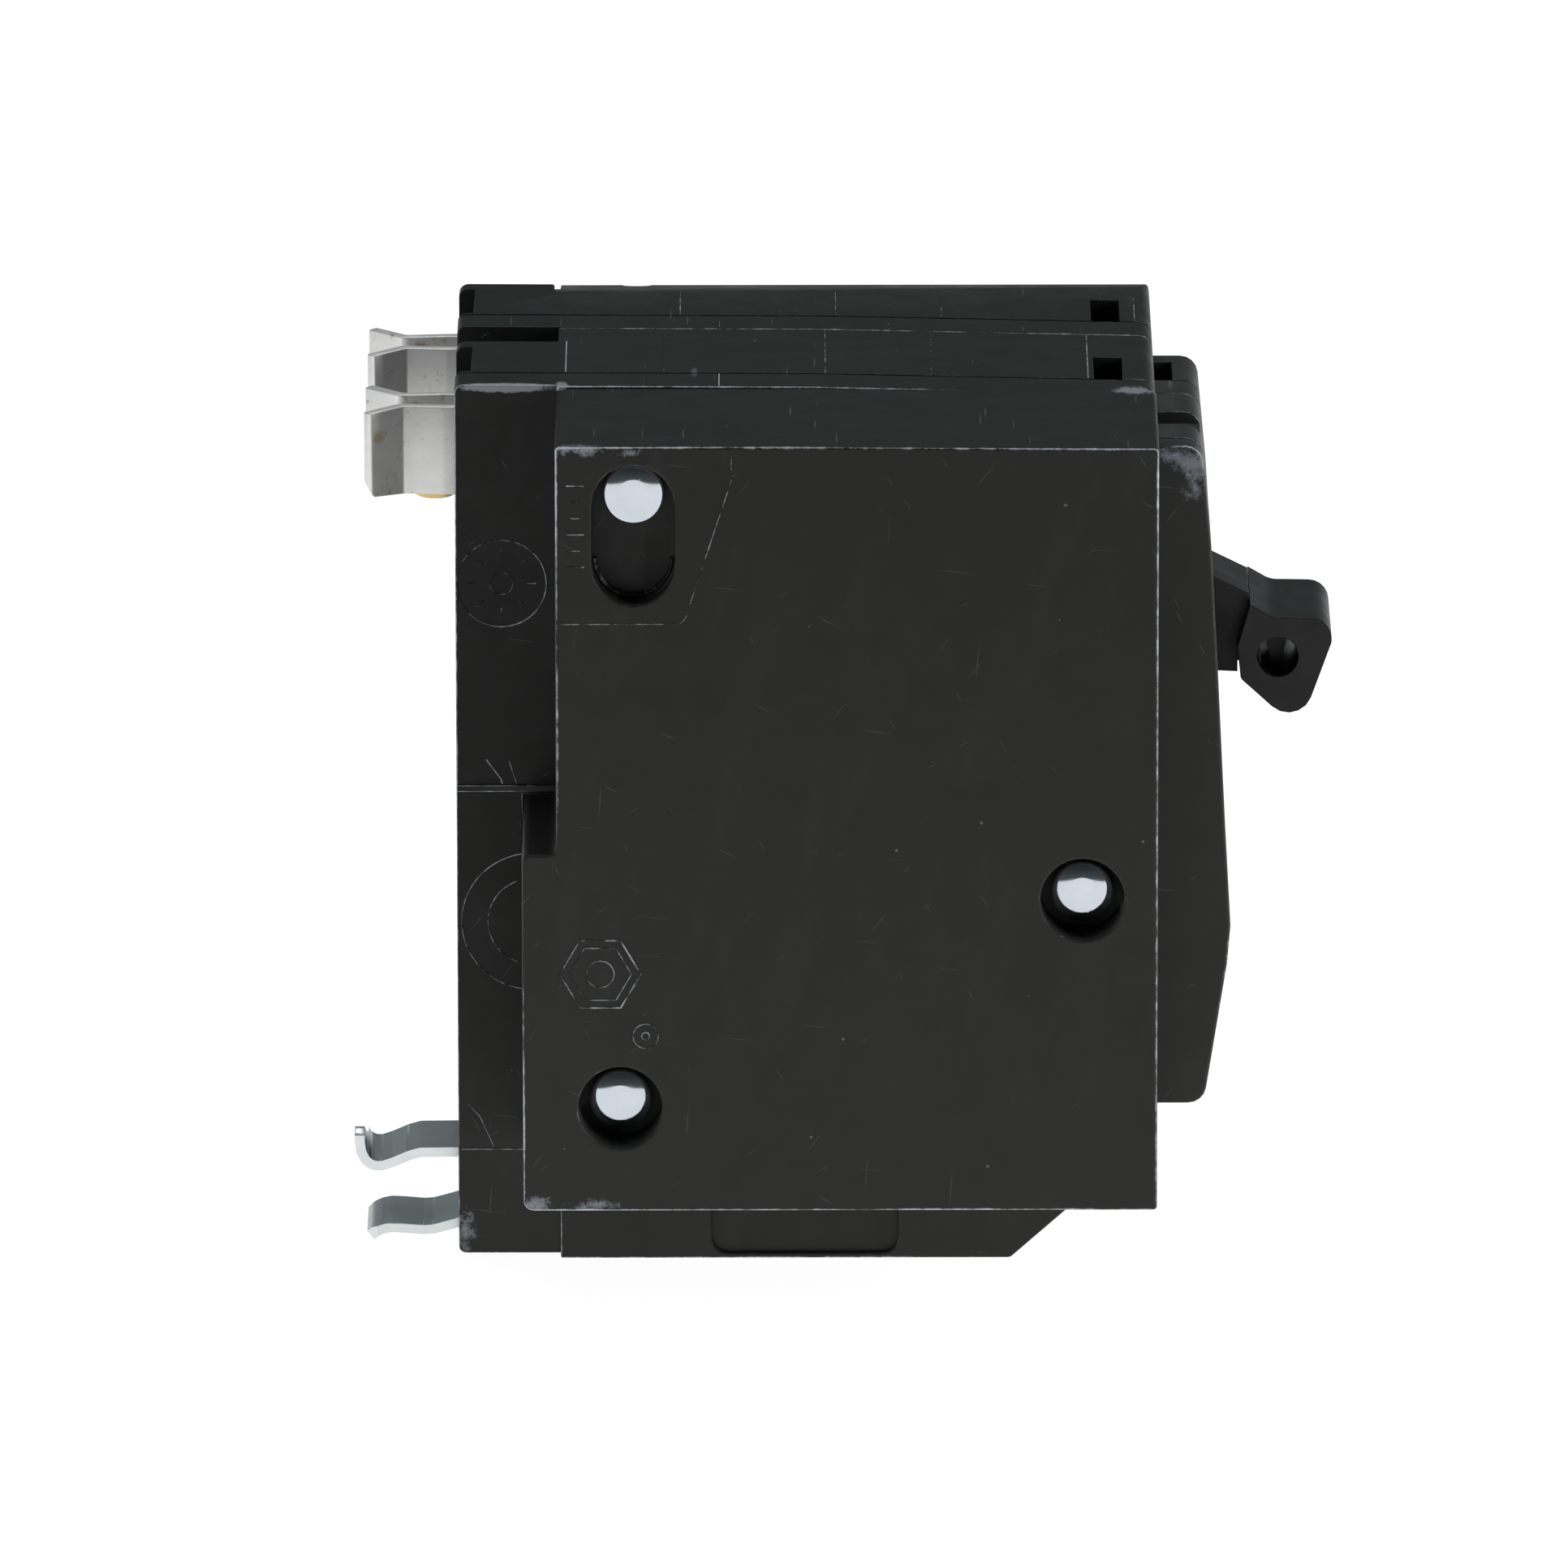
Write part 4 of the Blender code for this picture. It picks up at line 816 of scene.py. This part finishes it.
def top_of(x):
    """Height of the line end's surface, which falls a little to a ridge and more from there to the front."""
    if x < RIDGE_X:
        return BACK_TOP - 0.15 * x / RIDGE_X
    return RIDGE_TOP - (RIDGE_TOP - FRONT_TOP) * (x - RIDGE_X) / (FRONT_X - RIDGE_X)


def on_near(points, y=NEAR_FACE):
    """Points (x, z) of the side view, on a face that looks along -y."""
    return [(u, y, v) for u, v in points]


# Mould seams of the line end as (x, wear), on the base's half and then on the cover's half of each pole
SEAMS = {
    "a": (((19.45, 0.42), (33.05, 0.40), (42.3, 0.36), (59.2, 0.55)), ((22.9, 0.36), (49.4, 0.36))),
    "b": (((9.6, 1.0), (18.1, 0.36), (32.1, 0.40), (41.3, 0.36), (54.9, 0.62)), ((22.9, 0.95),)),
}
SEAM_WIDTH = 0.12
SEAM_HEIGHT = 0.035


def line_end_seams():
    """The fine lines that the mould's parts leave across the line end of both poles."""
    lines = []
    for tag, centre in POLES:
        low = centre - PITCH / 2 + 4.7
        high = centre + PITCH / 2 - (6.9 if tag == "a" else 0.4)
        near = centre - PITCH / 2 + 0.4
        for x, wear in SEAMS[tag][0]:
            far = centre + PITCH / 2 - 4.4 if x < 10 else high
            points = [(x, low, top_of(x)), (x, far, top_of(x))]
            lines.append((points, SEAM_WIDTH, SEAM_HEIGHT, False, wear))
        for x, wear in SEAMS[tag][1]:
            points = [(x, near, top_of(x)), (x, low - 0.5, top_of(x))]
            lines.append((points, SEAM_WIDTH, SEAM_HEIGHT, False, wear))
    marks("line_end_seams", lines, (0, 0, 1))


OUT_NEAR = (0, -1, 0)
HEXAGON = (12.6, 31.8)
EJECTOR = (16.5, 26.2)
DASHES = (1.5, 0.7, 1.5, 0.7, 0.7, 1.5)
DASH_START = (10.6, 68.3)
DASH_STEP = 1.45
SLOT_END = (15.55, 68.45)


def module_marks():
    """Mould lines on the shunt-trip module's outer face, with plain geometric marks."""
    insert = [(24.0, 78.6), (24.0, 76.0), (20.2, 64.3)]
    insert += arc((19.1, 64.25), 1.05, -20, -90, 5) + [(9.2, 63.2)]
    lines = [(on_near(insert), 0.13, 0.04, False, 0.5)]
    lines.append((on_near(arc(HEXAGON, 3.5, 0, 300, 5)), 0.16, 0.07, True, 0.48))
    lines.append((on_near(arc(HEXAGON, 2.7, 0, 300, 5)), 0.12, 0.06, True, 0.42))
    lines.append((on_near(arc(HEXAGON, 1.2, 0, 337.5, 15)), 0.12, 0.06, True, 0.45))
    lines.append((on_near(arc(EJECTOR, 1.1, 0, 340, 17)), 0.12, 0.06, True, 0.45))
    lines.append((on_near(arc(EJECTOR, 0.35, 0, 315, 7)), 0.14, 0.06, True, 0.45))
    x = DASH_START[0]
    for step, length in enumerate(DASHES):
        z = DASH_START[1] + DASH_STEP * step
        lines.append((on_near([(x - length / 2, z), (x + length / 2, z)]), 0.16, 0.06, False, 0.45))
    marks("module_mould_marks", lines, OUT_NEAR)
    slot_lip = on_near(arc(SLOT_END, 3.3, 180, 360, 36), NEAR_FACE + 2.7)
    marks("rivet_slot_lip", [(slot_lip, 0.4, 0.5, False, 0.3)], OUT_NEAR)


DIAL = (4.0, 61.3)
LARGE_RING = (6.6, 30.7)


def strip_marks():
    """Mould circles and lines on the recessed strip of the middle pole."""
    lines = [(on_near(arc(DIAL, 3.9, 0, 350, 35), STRIP_FACE), 0.14, 0.06, True, 0.58)]
    lines.append((on_near(arc(DIAL, 1.0, 0, 340, 17), STRIP_FACE), 0.12, 0.06, True, 0.5))
    for turn in range(0, 360, 45):
        tick = arc(DIAL, 2.2, turn, turn, 1)[:1] + arc(DIAL, 3.0, turn, turn, 1)[:1]
        lines.append((on_near(tick, STRIP_FACE), 0.14, 0.06, False, 0.5))
    for points, width, height, wear in (
        (arc(LARGE_RING, 6.2, 74, 286, 40), 0.13, 0.06, 0.5),
        (arc(LARGE_RING, 3.9, 110, 250, 24), 0.13, 0.06, 0.42),
        ([(0.3, 9.9), (8.6, 9.9)], 0.12, 0.04, 0.6),
        ([(2.6, 45.4), (3.9, 43.6), (4.0, 43.2)], 0.14, 0.04, 0.55),
        ([(4.6, 45.2), (5.2, 43.3)], 0.10, 0.03, 0.5),
        ([(0.9, 14.0), (1.9, 12.9), (3.1, 10.1)], 0.10, 0.03, 0.5),
    ):
        lines.append((on_near(points, STRIP_FACE), width, height, False, wear))
    marks("strip_mould_marks", lines, OUT_NEAR)


line_end_seams()
module_marks()
strip_marks()


# Rivets

# Rivets: place on the side view, and how deep the head sits below the near face
RIVETS = {"top": ((15.6, 74.5), 2.7), "front": ((54.2, 38.4), 4.0), "back": ((14.3, 19.7), 4.0)}
HEAD_RADIUS = 2.65
HEAD_HEIGHT = 1.9
DISC_RADIUS = 1.3
SHANK_RADIUS = 1.5
DOME_TILTS = (math.radians(8), math.radians(23))


def rivet(key):
    """A bright shallow dome with a flat struck disc at its middle, and a rolled head at the far end."""
    spot, depth = RIVETS[key]
    seat = NEAR_FACE + depth
    far_seat = FAR_FACE - 1.1
    crown = seat - HEAD_HEIGHT
    profile = [(0.0, crown)]
    curve = (HEAD_RADIUS - 0.1 - DISC_RADIUS) / (math.sin(DOME_TILTS[1]) - math.sin(DOME_TILTS[0]))
    for step in range(13):
        turn = DOME_TILTS[0] + (DOME_TILTS[1] - DOME_TILTS[0]) * step / 12
        radius = DISC_RADIUS + curve * (math.sin(turn) - math.sin(DOME_TILTS[0]))
        profile.append((radius, crown + curve * (math.cos(DOME_TILTS[0]) - math.cos(turn))))
    shoulder = profile[-1][1] + 0.1
    profile += [(HEAD_RADIUS, shoulder), (HEAD_RADIUS, seat - 0.25), (HEAD_RADIUS - 0.12, seat - 0.1)]
    profile += [(SHANK_RADIUS, seat - 0.1), (SHANK_RADIUS, far_seat + 0.1)]
    profile += [(2.5, far_seat + 0.1), (HEAD_RADIUS, far_seat + 0.25)]
    for step in range(1, 7):
        turn = math.radians(90 * step / 6)
        profile.append((1.9 + 0.72 * math.cos(turn), far_seat + 0.3 + 0.6 * math.sin(turn)))
    profile += [(1.2, far_seat + 0.72), (0.0, far_seat + 0.7)]
    piece = turned(f"rivet_{key}", profile, spot, "bright_rivet_plating", "root", inlay=RIVET_DISC)
    return stand_for(piece, f"case_rivet_{key}")


for key in RIVETS:
    rivet(key)


# Plug-on jaws and rail clip

JAW_Z = (68.0, 75.9)
JAW_PATH = ((4.3, 2.1), (-1.0, 2.1), (-4.7, 1.75), (-7.6, 4.4))
LIP_CORNERS = ((-4.7, 0.0), (-7.03, 0.31), (-8.6, 2.6))


def cut_below(mesh_data, first, last):
    """Cuts off what lies under a plane that holds two points of the side view, and closes the cut."""
    run = place(last[0], 0, last[1]) - place(first[0], 0, first[1])
    under = Vector((run.z, 0, -run.x)).normalized()
    under = -under if under.z > 0 else under
    whole = list(mesh_data.verts) + list(mesh_data.edges) + list(mesh_data.faces)
    bmesh.ops.bisect_plane(
        mesh_data, geom=whole, dist=1e-7, plane_co=place(first[0], 0, first[1]), plane_no=under,
        clear_outer=True,
    )
    bmesh.ops.holes_fill(mesh_data, edges=[edge for edge in mesh_data.edges if edge.is_boundary])


def jaw(tag, centre):
    """Two sprung plates of one folded strip, with flared, cut lips, and a brass stop below them."""
    middle = centre + JAW_OFFSET
    path = [(x, middle + y) for x, y in JAW_PATH[::-1]] + [(x, middle - y) for x, y in JAW_PATH]
    mesh_data = prism(strip_outline(filleted(path, 0.9), 1.0), *JAW_Z, "Z")
    corners = [(x, JAW_Z[0] + z) for x, z in LIP_CORNERS]
    for first, last in zip(corners, corners[1:]):
        cut_below(mesh_data, first, last)
    round_rims(mesh_data, 0.13)
    stand_for(add(f"line_jaw_{tag}_fine", mesh_data, "tinned_copper", "root", 50), f"line_jaw_{tag}")
    outline = [(x * 1.25, z * 0.45) for x, z in arc((0, 0), 1.45, 180, 360, 14)]
    outline = [(x - 1.8, z + JAW_Z[0]) for x, z in outline]
    outline += [(0.01, JAW_Z[0] + 0.12), (-3.61, JAW_Z[0] + 0.12)]
    mesh_data = prism(outline, middle - 1.5, middle - 0.6, "Y")
    round_rims(mesh_data, 0.08)
    add(f"jaw_stop_{tag}", mesh_data, "brass", "root", 50)


for tag, centre in POLES:
    jaw(tag, centre)

CLIP_Y = (-4.6, 3.4)
CLIP_THICKNESS = 0.88
CLIP_UPPER = (
    (-8.71, 10.3), (-8.71, 9.1), (-8.58, 8.25), (-8.2, 7.5), (-7.6, 7.05), (-6.8, 7.0), (-5.75, 7.36),
    (-4.4, 7.95), (-3.4, 8.24), (4.4, 8.3),
)
CLIP_LOWER = (
    (4.4, 3.1), (-1.2, 1.5), (-2.3, 1.2), (-3.2, 1.15), (-5.0, 1.3), (-6.0, 1.35), (-6.75, 1.2),
    (-7.35, 0.92), (-7.83, 0.4),
)
# The clip's tips are cut with prisms, each given as (outline, low, high, axis)
CLIP_CUTS = (
    (((-3.6, 10.35), (3.9, 7.4), (4.5, 7.4), (4.5, 11.5), (-3.6, 11.5)), -10.0, -8.05, "X"),
    (((-5.5, 9.1), (-3.5, 10.7), (-5.5, 10.7)), -10.0, -8.05, "X"),
    (((-9.5, -5.5), (-6.45, -5.5), (-9.0, -2.44), (-9.5, -2.44)), -1.0, 2.0, "Z"),
)


def carved(mesh_data, cuts):
    """A bmesh with prisms cut away, each given as (outline, low, high, axis)."""
    bodies = []
    for data in [mesh_data] + [prism(*cut) for cut in cuts]:
        bmesh.ops.recalc_face_normals(data, faces=data.faces)
        mesh = bpy.data.meshes.new("draft")
        data.to_mesh(mesh)
        data.free()
        bodies.append(bpy.data.objects.new("draft", mesh))
        bpy.context.scene.collection.objects.link(bodies[-1])
    for tool in bodies[1:]:
        change = bodies[0].modifiers.new("cut", "BOOLEAN")
        change.operation = "DIFFERENCE"
        change.solver = "EXACT"
        change.object = tool
    result = bmesh.new()
    result.from_object(bodies[0], bpy.context.evaluated_depsgraph_get())
    for body in bodies:
        bpy.data.objects.remove(body)
    return result


def rail_clip():
    """The spring clip of one bent strip, with its tips cut at an angle."""
    outline = strip_outline(filleted(CLIP_UPPER + CLIP_LOWER, 1.2), CLIP_THICKNESS)
    strip = softened(carved(prism(outline, *CLIP_Y, "Y"), CLIP_CUTS), 0.12, 2, 40.0)
    for face in strip.polygons:
        face.material_index = 1 if abs(face.normal.y) > 0.9 else 0
    piece = finish("rail_clip_fine", strip, "zinc_steel", "root", 40, (SHEARED_EDGE,))
    even_normals(piece)
    stand_for(piece, "rail_clip")


rail_clip()


# Handle

# Places of the side view: (x, z, reach, share of the rounding), or (x, z, reach, step along x)
CAP_ROOT = ((69.2, 55.75, 1.0, 0.15), (68.3, 50.4, 2.2, 0.15))
STALK_ENDS = (
    (68.7, 56.2, 0.3, 0.42), (68.7, 55.0, 0.3, 0.42), (67.9, 50.1, 0.3, 0.26), (67.9, 49.1, 0.3, 0.26),
)
STALK_TIP = ((68.9, 55.6, 1.0, 0.2), (68.2, 49.6, 1.0, 0.2))
refine("handle_lever", 0.3, segments=3, worn=True, small=STALK_TIP, nudges=STALK_ENDS)
refine("handle_cap", 0.5, segments=4, sharp=35.0, worn=True, small=((71.6, 51.0, 2.0, 0.4), *CAP_ROOT))
refine("handle_pivot_pin", 0.15)


# Works inside the poles

SMALL = 0.09
for tag, _ in POLES:
    for part in (
        "arc_chute", "cradle_pin", "magnet_yoke", "bimetal_strip", "line_terminal", "load_terminal",
        "trip_cradle", "armature", "contact_arm", "terminal_lug", "clamp_plate",
    ):
        refine(f"{part}_{tag}", SMALL)
    for part in ("fixed_contact", "moving_contact", "terminal_screw", "calibration_screw"):
        refine(f"{part}_{tag}", 0.2, segments=3)
refine("trip_crossbar", 0.12)
refine("solenoid_frame", SMALL)
refine("solenoid_plunger", 0.15)
refine("solenoid_bobbin", 0.12)


BRAID_START = Vector((50.7, 37.8))
BRAID_END = Vector((46.5, 54.6))
BRAID_BULGE = Vector((6.0, 1.0))


def braid_route(middle, count):
    """A slack curve from the top of the bimetal to the underside of the contact arm."""
    points = []
    for step in range(count + 1):
        share = step / count
        bulge = BRAID_BULGE * math.sin(math.pi * share) * (1 - share * 0.8)
        spot = BRAID_START.lerp(BRAID_END, share) + bulge
        points.append(Vector((spot.x, middle, spot.y)))
    return points


def strand(route, radius, turns, phase):
    """One strand that winds round a route."""
    points = []
    count = len(route) - 1
    for index, here in enumerate(route):
        ahead = route[min(index + 1, count)]
        behind = route[max(index - 1, 0)]
        run = (ahead - behind).normalized()
        side = Vector((0, 1, 0))
        other = run.cross(side)
        turn = math.tau * (turns * index / count + phase)
        points.append(here + (side * math.cos(turn) + other * math.sin(turn)) * radius)
    return points


for tag, centre in POLES:
    middle = centre + WORKS_OFFSET
    top_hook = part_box(f"operating_spring_{tag}")[1].z / MM - 0.3
    spring = wire(
        f"operating_spring_{tag}_fine", helix((37.2, middle), 1.9, 45.6, top_hook, 8), 0.3,
        "zinc_steel", body_of(f"operating_spring_{tag}"),
    )
    stand_for(spring, f"operating_spring_{tag}")
    route = braid_route(middle, 72)
    strands = [strand(route, 0.52, turns, phase / 3) for turns in (7, -7) for phase in range(3)]
    braid = wire(
        f"flexible_braid_{tag}_fine", route, 0.36, "copper", body_of(f"flexible_braid_{tag}"),
        resolution=1, strands=strands,
    )
    stand_for(braid, f"flexible_braid_{tag}")

SOLENOID = (34.0, -18.6)
COIL_RADII = (3.9, 6.6)
COIL_Z = (34.5, 52.5)
TURNS = 36


def coil_profile():
    """Half the section of the coil, with the outer side waved by its turns."""
    profile = [(COIL_RADII[0], COIL_Z[0])]
    for turn in range(TURNS):
        for share in (0.0, 0.25, 0.5, 0.75):
            height = COIL_Z[0] + (COIL_Z[1] - COIL_Z[0]) * (turn + share) / TURNS
            profile.append((COIL_RADII[1] + 0.2 * math.sin(math.pi * share), height))
    return profile + [(COIL_RADII[1], COIL_Z[1]), (COIL_RADII[0], COIL_Z[1])]


coil = turned(
    "solenoid_coil_fine", coil_profile(), SOLENOID, "copper", body_of("solenoid_coil"), "Z", 64, 60,
)
stand_for(coil, "solenoid_coil")
return_spring = wire(
    "plunger_spring_fine", helix(SOLENOID, 2.75, 56.1, 58.05, 3), 0.2,
    "zinc_steel", body_of("plunger_spring"),
)
stand_for(return_spring, "plunger_spring")


# Floor, light and camera

FLOOR_HALF = 4.0
FLOOR_GREY = 0.30
FLOOR_GLOW = 0.95
FLOOR_DROP = -0.05 * MM


def floor():
    """A wide plain floor with a glow of its own, so that it stays nearly white in shade."""
    made = Finish("floor_paint", 0.9, specular=0.0)
    made.shader.inputs["Base Color"].default_value = (FLOOR_GREY, FLOOR_GREY, FLOOR_GREY, 1.0)
    made.shader.inputs["Emission Color"].default_value = (1.0, 1.0, 1.0, 1.0)
    made.shader.inputs["Emission Strength"].default_value = FLOOR_GLOW
    mesh_data = bmesh.new()
    corners = [(x * FLOOR_HALF, y * FLOOR_HALF) for x, y in ((-1, -1), (1, -1), (1, 1), (-1, 1))]
    mesh_data.faces.new([mesh_data.verts.new((x, y, FLOOR_DROP)) for x, y in corners])
    mesh = bpy.data.meshes.new("floor")
    mesh_data.to_mesh(mesh)
    mesh_data.free()
    mesh.materials.append(made.material)
    piece = bpy.data.objects.new("floor", mesh)
    bpy.context.scene.collection.objects.link(piece)


def softbox(name, spot, aim, size, power):
    """A soft rectangular lamp that faces a point. Places and sizes are in metres, power in watts."""
    lamp = bpy.data.lights.new(name, "AREA")
    lamp.shape = "RECTANGLE"
    lamp.size, lamp.size_y = size
    lamp.energy = power
    held = bpy.data.objects.new(name, lamp)
    held.location = spot
    held.rotation_euler = (Vector(aim) - Vector(spot)).to_track_quat("-Z", "Y").to_euler()
    bpy.context.scene.collection.objects.link(held)


# Light of the room by height, from the horizon up
ROOM_STOPS = (
    (0.0, (0.60, 0.63, 0.65)), (0.05, (0.24, 0.265, 0.275)), (0.3, (0.105, 0.125, 0.130)),
    (0.7, (0.035, 0.05, 0.055)),
)
ROOM_DEPTH = (-0.5, 0.5, 0.35, 1.15)


def sky():
    """A dim blue-grey room, paler towards the horizon and darker on the near side."""
    world = bpy.data.worlds.new("room")
    bpy.context.scene.world = world
    world.use_nodes = True
    tree = world.node_tree
    coordinate = tree.nodes.new("ShaderNodeTexCoord")
    split = tree.nodes.new("ShaderNodeSeparateXYZ")
    ramp = tree.nodes.new("ShaderNodeValToRGB")
    behind = tree.nodes.new("ShaderNodeMapRange")
    for key, number in zip(("From Min", "From Max", "To Min", "To Max"), ROOM_DEPTH):
        behind.inputs[key].default_value = number
    tree.links.new(coordinate.outputs["Generated"], split.inputs[0])
    tree.links.new(split.outputs["Z"], ramp.inputs[0])
    tree.links.new(split.outputs["Y"], behind.inputs["Value"])
    tree.links.new(ramp.outputs[0], tree.nodes["Background"].inputs[0])
    tree.links.new(behind.outputs[0], tree.nodes["Background"].inputs[1])
    ramp.color_ramp.elements.remove(ramp.color_ramp.elements[1])
    for index, (spot, tone) in enumerate(ROOM_STOPS):
        stop = ramp.color_ramp.elements[0] if index == 0 else ramp.color_ramp.elements.new(spot)
        stop.position = spot
        stop.color = (*tone, 1.0)


floor()
sky()
softbox("overhead", (0.1, 0.3, 1.3), (0, 0, 0.04), (1.2, 0.9), 8.0)
softbox("right_window", (1.3, -0.35, 0.45), (0, 0, 0.05), (0.5, 0.5), 9.0)
softbox("left_window", (-1.3, -0.6, 0.4), (0, 0, 0.05), (0.6, 0.6), 4.0)

ELEVATION = math.radians(16.43)
DISTANCE = 2.0
AIM = place(28.48, -9.525, 43.27)
FOCAL_PIXELS = 28350
FRAME_PIXELS = 1932
SENSOR = 36.0
ROLL = math.radians(-0.088)

lens = bpy.data.cameras.new("camera")
lens.sensor_width = SENSOR
lens.lens = FOCAL_PIXELS * SENSOR / FRAME_PIXELS
lens.clip_end = 20.0
camera = bpy.data.objects.new("camera", lens)
bpy.context.scene.collection.objects.link(camera)
back = Vector((0, -math.cos(ELEVATION), math.sin(ELEVATION)))
camera.location = AIM + back * DISTANCE
camera.rotation_mode = "QUATERNION"
camera.rotation_quaternion = (-back).to_track_quat("-Z", "Y") @ Quaternion((0, 0, 1), ROLL)
bpy.context.scene.camera = camera
bpy.context.scene.view_settings.view_transform = "Standard"
